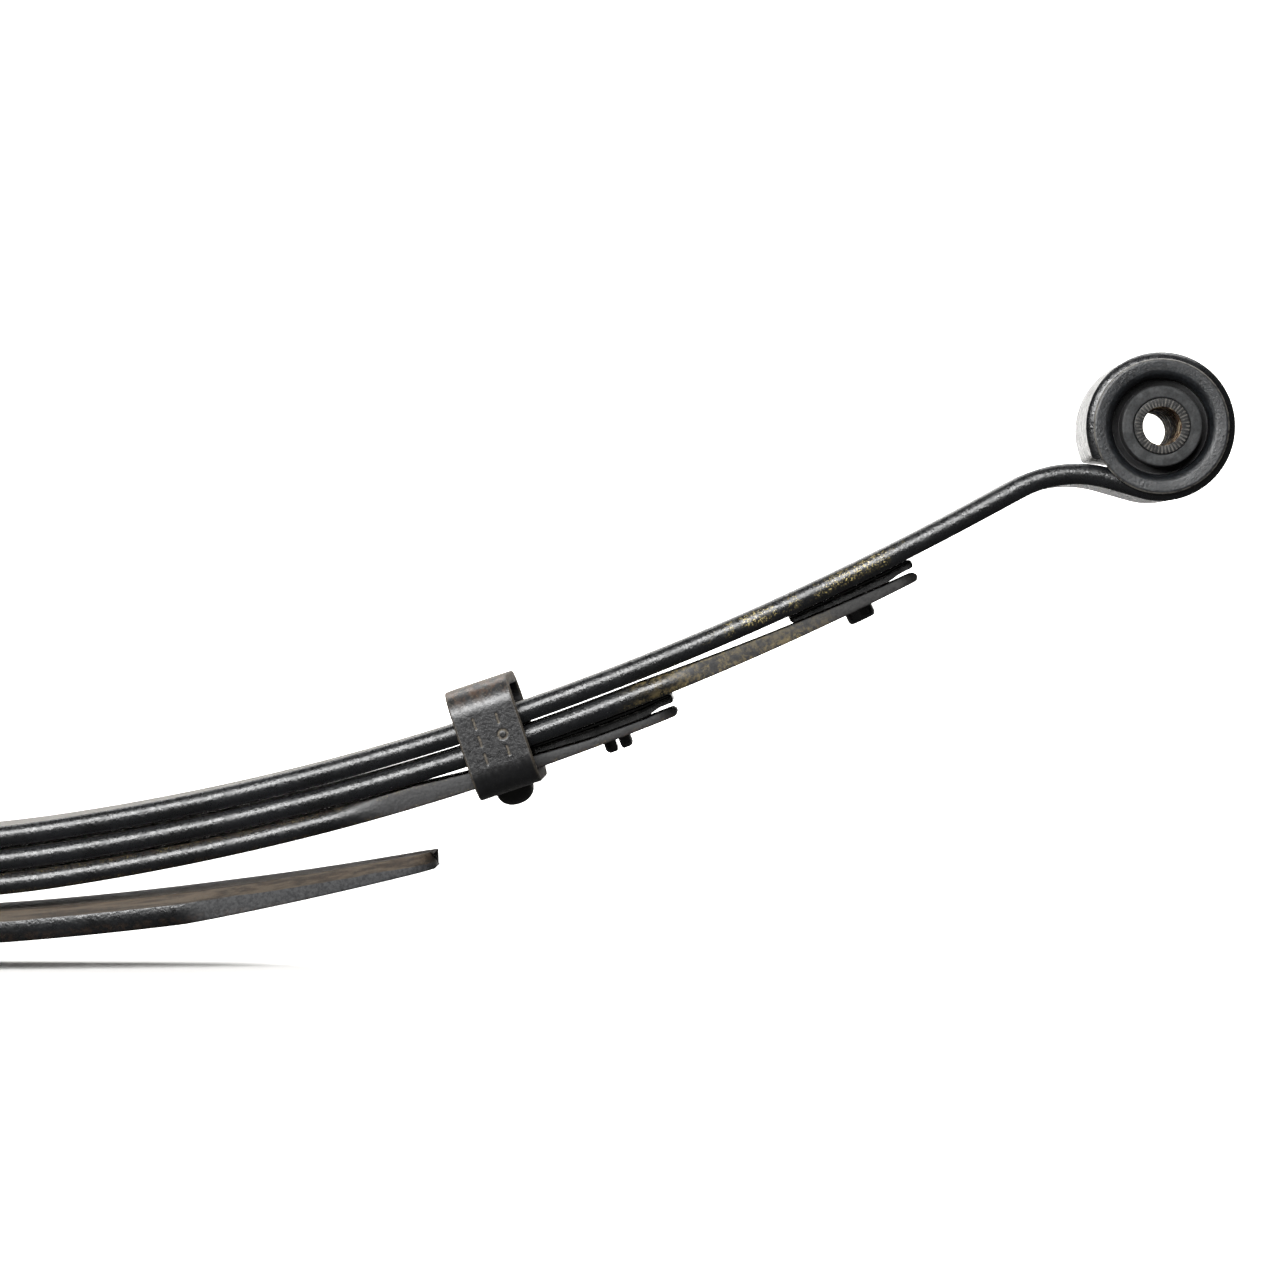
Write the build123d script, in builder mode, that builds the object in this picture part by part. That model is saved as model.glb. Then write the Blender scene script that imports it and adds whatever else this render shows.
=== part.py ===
from build123d import *
import os
from math import asin, cos, degrees, radians, sin

os.makedirs("parts", exist_ok=True)

# Multi-leaf suspension spring with two upturned eyes, lying along X and arched upwards.
# The origin is the middle of the axle seat under the overload leaf. The spring is the same at both ends,
# so every end piece is modelled at the front (+X) and mirrored for the rear.

# Leaf stock
leaf_width = 60.0
leaf_thick = 8.0
edge_bulge = 1.9  # how far a rolled edge rounds out past the flat faces
leaf_gap = 1.1  # air between two leaves once they part from the clamped seat

# Clamped stack at the middle
overload_thick = 12.0
spacer_thick = 6.8
spacer_length = 98.0
seat_half = 50.0
bolt_hole = 12.5
recess_dia = 22.0
recess_deep = 0.5

# Centreline of the main leaf from the seat outwards
root_radius = 592.0
root_turn = 8.72
mid_radius = 1002.0
mid_turn = 10.74
outer_radius = 1205.0
outer_turn = 9.0
neck_length = 16.9
hump_radius = 45.0
eye_fall = 16.0  # downward slope of the leaf where it enters the eye
entry_length = 13.4
eye_outer = 56.6
eye_scroll = 312.0  # how far the leaf is wrapped round the eye

# Shorter leaves: where each one ends, thins and narrows, measured along X
second_tip = 470.0
second_thins = 365.0
second_narrows = 366.0
second_tip_width = 36.0
third_tip = 378.0
third_thins = 280.0
third_thinned = 345.0
third_narrows = 240.0
third_tip_width = 34.0
tip_thick = 3.6
tip_corner = 8.0

# Overload leaf
overload_root_radius = 977.0
overload_root_turn = 5.26
overload_arm_radius = 1565.0
overload_arm_turn = 5.42
overload_thins = 190.0
overload_tip_thick = 6.5
overload_narrows = 182.0
overload_tip_width = 30.0
overload_tip_corner = 9.0

# Rebound clip
clip_station = 313.0
clip_length = 25.0
clip_thick = 4.5
clip_outer_width = 73.0
clip_outer_height = 43.5
clip_corner = 11.0
clip_seam = 0.8
rivet_shank = 8.0
rivet_head = 15.0
rivet_rise = 6.5
rivet_upset = 12.0
rivet_upset_thick = 1.4
rivet_upset_lift = 0.2  # clears the slope of the thinned leaf

# Anti-squeak pads and their plugs
second_pad_start = 420.0
second_pad_end = 466.0
second_plug = 447.0
second_pad_width = 44.0
third_pad_start = 321.0
third_pad_end = 375.0
third_plug = 354.0
third_pad_width = 42.0
pad_lip = 2.0
pad_lip_length = 5.0
pad_step = 4.0
pad_heel = 1.5
plug_dia = 11.2
plug_hole = 12.0
plug_drop = 4.6
plug_round = 2.0
plug_slot = 2.2

# Eye bush
flange_dia = 51.4
flange_thick = 2.0
shell_wall = 2.0
mouth_dia = 39.4
boss_dia = 30.6
boss_proud = 1.0
groove_deep = 9.0
sleeve_dia = 21.3
sleeve_bore = 14.4
sleeve_length = 68.0
sleeve_teeth = 44
tooth_gap = 0.62
tooth_deep = 0.5

# Centre bolt and nut
bolt_dia = 12.0
bolt_head_dia = 19.0
bolt_head_drop = 9.0
bolt_end = 4.0
nut_flats = 19.0
nut_high = 10.0

# Clearances
moving_gap = 0.3
running_gap = 0.05

spacer_base = overload_thick
third_base = spacer_base + spacer_thick
main_level = third_base + 2.5 * leaf_thick  # main leaf's centreline at the seat
stack_top = third_base + 3 * leaf_thick
bend_open = 1.0 - cos(radians(root_turn))
mid_end = root_turn + mid_turn


def leaf_arcs(layer):
    """Seat half length, seat height and the three bends of a leaf, counted down from the main leaf."""
    depth = layer * (leaf_thick + leaf_gap)
    earlier = layer * leaf_gap / bend_open
    seat = seat_half + earlier * sin(radians(root_turn))
    height = main_level - layer * leaf_thick
    radii = (root_radius + depth - earlier, mid_radius + depth, outer_radius + depth)
    return seat, height, radii


def station(layer, x):
    """Centreline height and slope of a leaf at a distance x from the middle."""
    start, height, radii = leaf_arcs(layer)
    slope = 0.0
    if x <= start:
        return height, slope
    for radius, turn in zip(radii, (root_turn, mid_turn, outer_turn)):
        reached = degrees(asin(min(1.0, sin(radians(slope)) + (x - start) / radius)))
        end = min(reached, slope + turn)
        height += radius * (cos(radians(slope)) - cos(radians(end)))
        start += radius * (sin(radians(end)) - sin(radians(slope)))
        slope = end
        if reached <= end:
            break
    return height, slope


def on_leaf(layer, x, up=0.0):
    """Point beside a leaf, up from its centreline along the leaf's own normal."""
    height, slope = station(layer, x)
    return x - up * sin(radians(slope)), height + up * cos(radians(slope))


def leaf_plane(layer, x, up=0.0, across=False):
    """Plane on a leaf: lying on it, or standing across it with its normal along the leaf."""
    slope = radians(station(layer, x)[1])
    px, pz = on_leaf(layer, x, up)
    along = (cos(slope), 0, sin(slope))
    upwards = (-sin(slope), 0, cos(slope))
    if across:
        return Plane(origin=(px, 0, pz), x_dir=(0, 1, 0), z_dir=along)
    return Plane(origin=(px, 0, pz), x_dir=along, z_dir=upwards)


def second_depth(x):
    """Thickness of the second leaf, which thins towards its tip."""
    return leaf_thick - (leaf_thick - tip_thick) * (x - second_thins) / (second_tip - second_thins)


def third_depth(x):
    """Thickness of the third leaf, which thins early and then stays thin to its tip."""
    share = min(1.0, (x - third_thins) / (third_thinned - third_thins))
    return leaf_thick - (leaf_thick - tip_thick) * share


def turn_to(layer, x):
    """Turn of the outer bend that brings a leaf's end to x."""
    seat, height, radii = leaf_arcs(layer)
    reach = seat + radii[0] * sin(radians(root_turn))
    reach += radii[1] * (sin(radians(mid_end)) - sin(radians(root_turn)))
    return degrees(asin(sin(radians(mid_end)) + (x - reach) / radii[2])) - mid_end


def cross_plane(level):
    """Plane across the spring at its middle, where each leaf's bar starts."""
    return Plane(origin=(0, 0, level), x_dir=(0, 1, 0), z_dir=(1, 0, 0))


def rolled_section(thick):
    """Cross-section of rolled spring bar: flat faces and rounded-out edges."""
    side = leaf_width / 2 - edge_bulge
    with BuildLine() as outline:
        Line((-side, thick / 2), (side, thick / 2))
        ThreePointArc((side, thick / 2), (leaf_width / 2, 0), (side, -thick / 2))
        Line((side, -thick / 2), (-side, -thick / 2))
        ThreePointArc((-side, -thick / 2), (-leaf_width / 2, 0), (-side, thick / 2))
    make_face(outline.edges())


def plan_outline(narrows, tip, tip_width, corner):
    """Plan of half a leaf: full width, then narrowed towards a tip with round corners."""
    wide = leaf_width / 2 + 1
    narrow = tip_width / 2
    with BuildLine() as outline:
        Polyline((-1, wide), (-1, -wide), (narrows, -wide), (tip, -narrow))
        Polyline((tip, -narrow), (tip, narrow), (narrows, wide), (-1, wide))
    make_face(outline.edges())
    fillet(vertices().group_by(Axis.X)[-1], radius=corner)


def short_leaf_path(layer, tip):
    """Centreline of a plain leaf from the middle to its tip."""
    seat, height, radii = leaf_arcs(layer)
    flat = Line((0, height), (seat, height))
    root = JernArc(flat @ 1, flat % 1, radii[0], root_turn)
    mid = JernArc(root @ 1, root % 1, radii[1], mid_turn)
    JernArc(mid @ 1, mid % 1, radii[2], turn_to(layer, tip))


def thin_wedge(layer, depth, stations, top):
    """Face of the metal rolled away above a thinned tip, between the first and last station."""
    first, middle, last = (on_leaf(layer, x, depth(x) - leaf_thick / 2) for x in stations)
    with BuildLine() as outline:
        ThreePointArc(first, middle, last)
        Polyline(last, (last[0], top), (first[0], top), first)
    make_face(outline.edges())


# Main leaf: one rolled bar that rises over a hump and wraps round each eye
with BuildPart() as main_leaf:
    with BuildLine(Plane.XZ) as main_path:
        flat = Line((0, main_level), (seat_half, main_level))
        root = JernArc(flat @ 1, flat % 1, root_radius, root_turn)
        mid = JernArc(root @ 1, root % 1, mid_radius, mid_turn)
        outer = JernArc(mid @ 1, mid % 1, outer_radius, outer_turn)
        neck = Line(outer @ 1, outer @ 1 + (outer % 1) * neck_length)
        hump = JernArc(neck @ 1, neck % 1, hump_radius, -(mid_end + outer_turn + eye_fall))
        entry = Line(hump @ 1, hump @ 1 + (hump % 1) * entry_length)
        scroll = JernArc(entry @ 1, entry % 1, (eye_outer - leaf_thick) / 2, eye_scroll)
    with BuildSketch(cross_plane(main_level)):
        rolled_section(leaf_thick)
    sweep()
    mirror(about=Plane.YZ)
    with BuildSketch(Plane.XY.offset(main_level)):
        Circle(bolt_hole / 2)
    extrude(amount=leaf_thick, both=True, mode=Mode.SUBTRACT)
main_leaf.part.label = "main_leaf"
export_step(main_leaf.part, "parts/main_leaf.step")
eye_centre = scroll.center_point
eye_axis = Axis((eye_centre.X, 0, eye_centre.Z), (0, 1, 0))

# Second leaf: reaches past the clip and thins on top for its pad
with BuildPart() as second_leaf:
    with BuildLine(Plane.XZ):
        short_leaf_path(1, second_tip)
    with BuildSketch(cross_plane(main_level - leaf_thick)):
        rolled_section(leaf_thick)
    sweep()
    second_end = second_tip + leaf_thick
    with BuildSketch(Plane.XZ):
        thin_wedge(1, second_depth, (second_thins, (second_thins + second_end) / 2, second_end), 300)
    extrude(amount=leaf_width, both=True, mode=Mode.SUBTRACT)
    with BuildSketch():
        plan_outline(second_narrows, second_tip, second_tip_width, tip_corner)
    extrude(amount=300, mode=Mode.INTERSECT)
    with BuildSketch(leaf_plane(1, second_plug)):
        Circle(plug_hole / 2)
    extrude(amount=leaf_thick, both=True, mode=Mode.SUBTRACT)
    mirror(about=Plane.YZ)
    with BuildSketch(Plane.XY.offset(main_level - leaf_thick)):
        Circle(bolt_hole / 2)
    extrude(amount=leaf_thick, both=True, mode=Mode.SUBTRACT)
second_leaf.part.label = "second_leaf"
export_step(second_leaf.part, "parts/second_leaf.step")

# Third leaf: carries the clips by their rivets
with BuildPart() as third_leaf:
    with BuildLine(Plane.XZ):
        short_leaf_path(2, third_tip)
    with BuildSketch(cross_plane(main_level - 2 * leaf_thick)):
        rolled_section(leaf_thick)
    sweep()
    third_end = third_tip + leaf_thick
    with BuildSketch(Plane.XZ):
        thin_wedge(2, third_depth, (third_thins, (third_thins + third_thinned) / 2, third_thinned), 200)
        thin_wedge(2, third_depth, (third_thinned, (third_thinned + third_end) / 2, third_end), 200)
    extrude(amount=leaf_width, both=True, mode=Mode.SUBTRACT)
    with BuildSketch():
        plan_outline(third_narrows, third_tip, third_tip_width, tip_corner)
    extrude(amount=300, mode=Mode.INTERSECT)
    with BuildSketch(leaf_plane(2, third_plug)):
        Circle(plug_hole / 2)
    extrude(amount=leaf_thick, both=True, mode=Mode.SUBTRACT)
    with BuildSketch(leaf_plane(2, clip_station)):
        Circle(rivet_shank / 2 + running_gap)
    extrude(amount=leaf_thick, both=True, mode=Mode.SUBTRACT)
    mirror(about=Plane.YZ)
    with BuildSketch(Plane.XY.offset(main_level - 2 * leaf_thick)):
        Circle(bolt_hole / 2)
    extrude(amount=leaf_thick, both=True, mode=Mode.SUBTRACT)
third_leaf.part.label = "third_leaf"
export_step(third_leaf.part, "parts/third_leaf.step")

# Overload leaf: thick and flatter, thinned underneath and narrowed towards its blunt tips
with BuildPart() as overload_leaf:
    with BuildLine(Plane.XZ):
        seat_line = Line((0, overload_thick / 2), (seat_half, overload_thick / 2))
        overload_root = JernArc(seat_line @ 1, seat_line % 1, overload_root_radius, overload_root_turn)
        overload_arm = JernArc(
            overload_root @ 1, overload_root % 1, overload_arm_radius, overload_arm_turn
        )
    overload_tip = overload_arm @ 1
    tip_way = overload_arm % 1
    with BuildSketch(cross_plane(overload_thick / 2)):
        rolled_section(overload_thick)
    sweep()
    tip_drop = overload_tip_thick - overload_thick / 2
    tip_under = (overload_tip.X + tip_drop * tip_way.Z, overload_tip.Z - tip_drop * tip_way.X)
    with BuildSketch(Plane.XZ):
        with BuildLine():
            Polyline((overload_thins, 0), (overload_thins, 3.6), tip_under, (320, 40), (320, 0), close=True)
        make_face()
    extrude(amount=leaf_width, both=True, mode=Mode.SUBTRACT)
    with BuildSketch():
        plan_outline(overload_narrows, overload_tip.X, overload_tip_width, overload_tip_corner)
    extrude(amount=100, mode=Mode.INTERSECT)
    mirror(about=Plane.YZ)
    with BuildSketch():
        Circle(bolt_hole / 2)
    extrude(amount=overload_thick, mode=Mode.SUBTRACT)
    with BuildSketch():
        Circle(recess_dia / 2)
    extrude(amount=recess_deep, mode=Mode.SUBTRACT)
overload_leaf.part.label = "overload_leaf"
export_step(overload_leaf.part, "parts/overload_leaf.step")

# Spacer between the overload leaf and the leaves above it
with BuildPart() as centre_spacer:
    with BuildSketch(Plane.XY.offset(spacer_base)):
        RectangleRounded(spacer_length, leaf_width - 2, 4)
        Circle(bolt_hole / 2, mode=Mode.SUBTRACT)
    extrude(amount=spacer_thick)
centre_spacer.part.label = "centre_spacer"
export_step(centre_spacer.part, "parts/centre_spacer.step")

# Centre bolt: its round head points down and locates the spring on the axle
with BuildPart() as centre_bolt:
    with BuildSketch(Plane.XY.offset(-bolt_head_drop)):
        Circle(bolt_head_dia / 2)
    extrude(amount=bolt_head_drop + recess_deep)
    chamfer(edges().group_by(Axis.Z)[0], length=1)
    with BuildSketch(Plane.XY.offset(recess_deep)):
        Circle(bolt_dia / 2)
    extrude(amount=stack_top + nut_high + bolt_end - recess_deep)
    chamfer(edges().group_by(Axis.Z)[-1], length=1)
centre_bolt.part.label = "centre_bolt"
export_step(centre_bolt.part, "parts/centre_bolt.step")

# Centre nut on top of the main leaf
with BuildPart() as centre_nut:
    with BuildSketch(Plane.XY.offset(stack_top)):
        RegularPolygon(nut_flats / 2, 6, major_radius=False)
    extrude(amount=nut_high)
    with BuildSketch(Plane.XY.offset(stack_top)):
        Circle(nut_flats / 2 + 0.6)
    extrude(amount=nut_high, taper=8, mode=Mode.INTERSECT)
    with BuildSketch(Plane.XY.offset(stack_top)):
        Circle(bolt_dia / 2 + running_gap)
    extrude(amount=nut_high, mode=Mode.SUBTRACT)
centre_nut.part.label = "centre_nut"
export_step(centre_nut.part, "parts/centre_nut.step")

# Clip band: strap bent round the three upper leaves, its ends meeting on top
with BuildPart() as clip_band:
    band_plane = leaf_plane(2, clip_station, -leaf_thick / 2 - moving_gap, across=True)
    with BuildSketch(band_plane):
        with Locations((0, clip_outer_height / 2 - clip_thick)):
            RectangleRounded(clip_outer_width, clip_outer_height, clip_corner)
            RectangleRounded(
                clip_outer_width - 2 * clip_thick,
                clip_outer_height - 2 * clip_thick,
                clip_corner - clip_thick,
                mode=Mode.SUBTRACT,
            )
        with Locations((0, clip_outer_height - 1.5 * clip_thick)):
            Rectangle(clip_seam, 2 * clip_thick, mode=Mode.SUBTRACT)
    extrude(amount=clip_length / 2, both=True)
    with BuildSketch(leaf_plane(2, clip_station, -leaf_thick)):
        Circle(rivet_shank / 2 + running_gap)
    extrude(amount=clip_thick, both=True, mode=Mode.SUBTRACT)

# Clip rivet: domed head under the band, low upset head on top of the third leaf
with BuildPart() as clip_rivet:
    rivet_foot = leaf_plane(2, clip_station, -leaf_thick / 2 - moving_gap - clip_thick)
    rivet_top = third_depth(clip_station) + moving_gap + clip_thick + moving_gap + rivet_upset_lift
    with BuildSketch(Plane(origin=rivet_foot.origin, x_dir=rivet_foot.x_dir, z_dir=(0, -1, 0))):
        with BuildLine():
            dome = ThreePointArc(
                (0, -rivet_rise), (rivet_head * 0.37, -rivet_rise * 0.62), (rivet_head / 2, 0)
            )
            Polyline(
                dome @ 1,
                (rivet_shank / 2, 0),
                (rivet_shank / 2, rivet_top),
                (rivet_upset / 2, rivet_top),
                (rivet_upset / 2, rivet_top + rivet_upset_thick),
                (0, rivet_top + rivet_upset_thick),
                dome @ 0,
            )
        make_face()
    revolve(axis=Axis(rivet_foot.origin, rivet_foot.z_dir))


def pad_face(layer, depth, start, end, plug):
    """Side view of a pad: it fills the gap over a thinned leaf tip and ends in a thin lip."""
    rise = -leaf_thick / 2 - moving_gap
    lip = end - pad_lip_length

    def upper(x, down=0.0):
        return on_leaf(layer - 1, x, rise - down)

    def lower(x):
        return on_leaf(layer, x, depth(x) - leaf_thick / 2 + moving_gap)

    with BuildLine() as outline:
        ThreePointArc(upper(start), upper((start + end) / 2), upper(end))
        Polyline(upper(end), upper(end, pad_lip), upper(lip, pad_lip), lower(lip - pad_step))
        ThreePointArc(lower(lip - pad_step), lower(plug), lower(start + pad_heel))
        Line(lower(start + pad_heel), upper(start))
    make_face(outline.edges())


# Pad between the main and second leaves, pinned to the second leaf by a solid plug
with BuildPart() as second_leaf_pad:
    with BuildSketch(Plane.XZ):
        pad_face(1, second_depth, second_pad_start, second_pad_end, second_plug)
    extrude(amount=second_pad_width / 2, both=True)
    with BuildSketch(leaf_plane(1, second_plug, -leaf_thick / 2 - plug_drop)):
        Circle(plug_dia / 2)
    extrude(amount=plug_drop + second_depth(second_plug) + 2 * moving_gap)
    fillet(edges().group_by(Axis.Z)[0], radius=plug_round)

# Pad between the second and third leaves, held by a split snap plug
with BuildPart() as third_leaf_pad:
    with BuildSketch(Plane.XZ):
        pad_face(2, third_depth, third_pad_start, third_pad_end, third_plug)
    extrude(amount=third_pad_width / 2, both=True)
    plug_foot = leaf_plane(2, third_plug, -leaf_thick / 2 - plug_drop)
    with BuildSketch(plug_foot):
        Circle(plug_dia / 2)
    extrude(amount=plug_drop + tip_thick + 2 * moving_gap)
    fillet(edges().group_by(Axis.Z)[0], radius=plug_round)
    with BuildSketch(plug_foot):
        Rectangle(plug_slot, 2 * plug_dia)
    extrude(amount=plug_drop + tip_thick - 0.5, mode=Mode.SUBTRACT)

# Bush shell: steel tube pressed into the eye, flanged on the near side
shell_outer = eye_outer / 2 - leaf_thick - running_gap
shell_inner = shell_outer - shell_wall
flange_face = -leaf_width / 2 - moving_gap - flange_thick
bush_plane = Plane(origin=(eye_centre.X, 0, eye_centre.Z), x_dir=(1, 0, 0), z_dir=(0, 0, 1))
with BuildPart() as bush_shell:
    with BuildSketch(bush_plane):
        with BuildLine():
            Polyline(
                (shell_inner, leaf_width / 2 - 1),
                (shell_outer, leaf_width / 2 - 1),
                (shell_outer, -leaf_width / 2 - moving_gap),
                (flange_dia / 2, -leaf_width / 2 - moving_gap),
                (flange_dia / 2, flange_face + 0.5),
                (flange_dia / 2 - 0.7, flange_face),
                (mouth_dia / 2 + 0.8, flange_face + 0.5),
                (mouth_dia / 2, flange_face + 1.2),
                (shell_inner, flange_face + 3.6),
                (shell_inner, leaf_width / 2 - 1),
            )
        make_face()
    revolve(axis=eye_axis)

# Bush rubber: bonded in the shell, with a deep relief groove round a flat boss at each end
boss_end = flange_face - boss_proud
groove_side = groove_deep - 2.0  # the groove's floor rises towards the shell
with BuildPart() as bush_rubber:
    with BuildSketch(bush_plane):
        with BuildLine():
            Polyline(
                (sleeve_dia / 2 + running_gap, boss_end),
                (boss_dia / 2 - 0.6, boss_end),
                (boss_dia / 2, boss_end + 0.6),
                (boss_dia / 2, flange_face + groove_deep),
                (shell_inner, flange_face + groove_side),
                (shell_inner, leaf_width / 2 - groove_side),
                (boss_dia / 2, leaf_width / 2 - groove_deep),
                (boss_dia / 2, -boss_end - 0.6),
                (boss_dia / 2 - 0.6, -boss_end),
                (sleeve_dia / 2 + running_gap, -boss_end),
                close=True,
            )
        make_face()
    revolve(axis=eye_axis)


def eye_plane(y, inward):
    """Plane across the eye at width y, facing along Y the way inward says."""
    return Plane(origin=(eye_centre.X, y, eye_centre.Z), x_dir=(1, 0, 0), z_dir=(0, inward, 0))


# Bush sleeve: steel tube that the hanger bolt clamps by its toothed ends
with BuildPart() as bush_sleeve:
    with BuildSketch(eye_plane(-sleeve_length / 2, 1)):
        Circle(sleeve_dia / 2)
        Circle(sleeve_bore / 2, mode=Mode.SUBTRACT)
    extrude(amount=sleeve_length)
    for end in (-1, 1):
        with BuildSketch(eye_plane(end * sleeve_length / 2, -end)):
            with PolarLocations((sleeve_dia + sleeve_bore) / 4, sleeve_teeth):
                Rectangle(sleeve_dia - sleeve_bore, tooth_gap)
        extrude(amount=tooth_deep, mode=Mode.SUBTRACT)

end_pieces = {
    "clip_band": clip_band,
    "clip_rivet": clip_rivet,
    "second_leaf_pad": second_leaf_pad,
    "third_leaf_pad": third_leaf_pad,
    "bush_shell": bush_shell,
    "bush_rubber": bush_rubber,
    "bush_sleeve": bush_sleeve,
}
for piece_name, front_piece in end_pieces.items():
    front_piece.part.label = "front_" + piece_name
    export_step(front_piece.part, "parts/front_" + piece_name + ".step")
    with BuildPart() as rear_piece:
        mirror(front_piece.part, about=Plane.YZ)
    rear_piece.part.label = "rear_" + piece_name
    export_step(rear_piece.part, "parts/rear_" + piece_name + ".step")
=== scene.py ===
from math import asin, ceil, cos, pi, radians, sin, tan

import bmesh
import bpy
import numpy as np
from mathutils import Matrix, Vector


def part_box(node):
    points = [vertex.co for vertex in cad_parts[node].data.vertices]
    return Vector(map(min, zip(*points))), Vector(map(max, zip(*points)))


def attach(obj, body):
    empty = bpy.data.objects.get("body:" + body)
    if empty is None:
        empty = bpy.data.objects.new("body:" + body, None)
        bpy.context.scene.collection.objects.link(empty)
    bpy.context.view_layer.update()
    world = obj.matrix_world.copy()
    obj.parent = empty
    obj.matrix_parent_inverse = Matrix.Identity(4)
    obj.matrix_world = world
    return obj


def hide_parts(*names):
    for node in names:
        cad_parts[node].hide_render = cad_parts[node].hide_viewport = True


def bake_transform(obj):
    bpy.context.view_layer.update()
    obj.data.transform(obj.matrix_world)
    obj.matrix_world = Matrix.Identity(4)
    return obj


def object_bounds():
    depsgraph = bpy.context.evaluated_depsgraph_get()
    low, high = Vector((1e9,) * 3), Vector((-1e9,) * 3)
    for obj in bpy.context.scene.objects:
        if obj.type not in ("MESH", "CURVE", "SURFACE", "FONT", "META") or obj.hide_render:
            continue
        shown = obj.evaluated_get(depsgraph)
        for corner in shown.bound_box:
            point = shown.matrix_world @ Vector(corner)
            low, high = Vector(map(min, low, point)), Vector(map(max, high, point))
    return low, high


# A multi-leaf suspension spring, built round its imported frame. Sizes are in millimetres until they
# become vertices, and mm turns them into Blender's metres.

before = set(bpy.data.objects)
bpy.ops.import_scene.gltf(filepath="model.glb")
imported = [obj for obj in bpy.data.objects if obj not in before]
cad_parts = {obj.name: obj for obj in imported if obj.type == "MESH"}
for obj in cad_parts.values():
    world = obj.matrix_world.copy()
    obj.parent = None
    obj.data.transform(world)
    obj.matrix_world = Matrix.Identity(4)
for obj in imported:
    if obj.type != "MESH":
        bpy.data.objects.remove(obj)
cadBox = [list(corner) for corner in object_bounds()]
mm = 0.001
print("frame loaded:", len(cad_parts), "nodes")


def linear(code):
    # sRGB hex colour to the linear values that the shaders work in
    shares = [int(code[i : i + 2], 16) / 255 for i in (1, 3, 5)]
    return [s / 12.92 if s <= 0.04045 else ((s + 0.055) / 1.055) ** 2.4 for s in shares] + [1.0]


def addNode(tree, kind, settings=None, output=0):
    # adds a node: a setting is the node's own, or a value or another node's output for one of its sockets
    node = tree.nodes.new(kind)
    for name, value in (settings or {}).items():
        if isinstance(name, str) and hasattr(node, name):
            setattr(node, name, value)
        elif isinstance(value, bpy.types.NodeSocket):
            tree.links.new(value, node.inputs[name])
        else:
            node.inputs[name].default_value = value
    return node.outputs[output] if len(node.outputs) else None


def place(nodeName, share=(0.5, 0.5, 0.5)):
    # point inside a CAD node's box, in metres
    low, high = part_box(nodeName)
    return Vector([low[i] + (high[i] - low[i]) * share[i] for i in range(3)])


def finished(piece, sharpAngle=35):
    # faces outwards, smooth, with the real corners kept sharp
    work = bmesh.new()
    work.from_mesh(piece.data)
    bmesh.ops.recalc_face_normals(work, faces=work.faces)
    work.to_mesh(piece.data)
    work.free()
    piece.data.shade_smooth()
    piece.data.set_sharp_from_angle(angle=radians(sharpAngle))
    return piece


def newPiece(name, mesh, material=None):
    piece = bpy.data.objects.new(name, mesh)
    bpy.context.scene.collection.objects.link(piece)
    if material:
        mesh.materials.clear()
        mesh.materials.append(material)
    return piece


def workedPiece(name, work, material):
    # turns finished mesh work into a piece
    mesh = bpy.data.meshes.new(name)
    work.to_mesh(mesh)
    work.free()
    return finished(newPiece(name, mesh, material))


def mirrored(front):
    # the rear twin of a front piece
    mesh = front.data.copy()
    mesh.transform(Matrix.Diagonal((-1, 1, 1, 1)))
    mesh.flip_normals()
    return newPiece(front.name.replace("front", "rear"), mesh)


def fitted(piece, body, node):
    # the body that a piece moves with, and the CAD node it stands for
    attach(piece, body)
    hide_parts(node)


def fittedPair(front, body, node):
    for side, piece in (("front_", front), ("rear_", mirrored(front))):
        fitted(piece, side + body, side + node)


def newTree(name, inputs):
    # a shape tree with its named inputs, given as name and kind, and what comes in through them
    tree = bpy.data.node_groups.new(name, "GeometryNodeTree")
    for label, kind in inputs:
        tree.interface.new_socket(name=label, in_out="INPUT", socket_type="NodeSocket" + kind)
    tree.interface.new_socket(name="Made", in_out="OUTPUT", socket_type="NodeSocketGeometry")
    return tree, tree.nodes.new("NodeGroupInput").outputs


def closeTree(tree, shape, material):
    real = addNode(tree, "GeometryNodeRealizeInstances", {0: shape})
    painted = addNode(tree, "GeometryNodeSetMaterial", {"Geometry": real, "Material": material})
    addNode(tree, "NodeGroupOutput", {0: painted})
    return tree


def growTree(name, mesh, tree, values):
    # puts a tree on a new piece, sets its inputs by their identifiers, and keeps only the plain mesh it makes
    piece = newPiece(name, mesh)
    modifier = piece.modifiers.new(tree.name, "NODES")
    modifier.node_group = tree
    for item in tree.interface.items_tree:
        if item.in_out == "INPUT" and item.name in values:
            modifier[item.identifier] = values[item.name]
    shaped = bpy.data.meshes.new_from_object(piece.evaluated_get(bpy.context.evaluated_depsgraph_get()))
    piece.modifiers.clear()
    piece.data = shaped
    return piece


def joinedPiece(name, parts):
    # several closed shells as one piece, with their materials kept
    work = bmesh.new()
    materials = []
    for part in parts:
        first = len(work.faces)
        work.from_mesh(part.data)
        work.faces.ensure_lookup_table()
        for face in work.faces[first:]:
            material = part.data.materials[face.material_index]
            if material not in materials:
                materials.append(material)
            face.material_index = materials.index(material)
    mesh = bpy.data.meshes.new(name)
    work.to_mesh(mesh)
    work.free()
    for material in materials:
        mesh.materials.append(material)
    for part in parts:
        bpy.data.objects.remove(part)
    return finished(newPiece(name, mesh))


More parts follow.
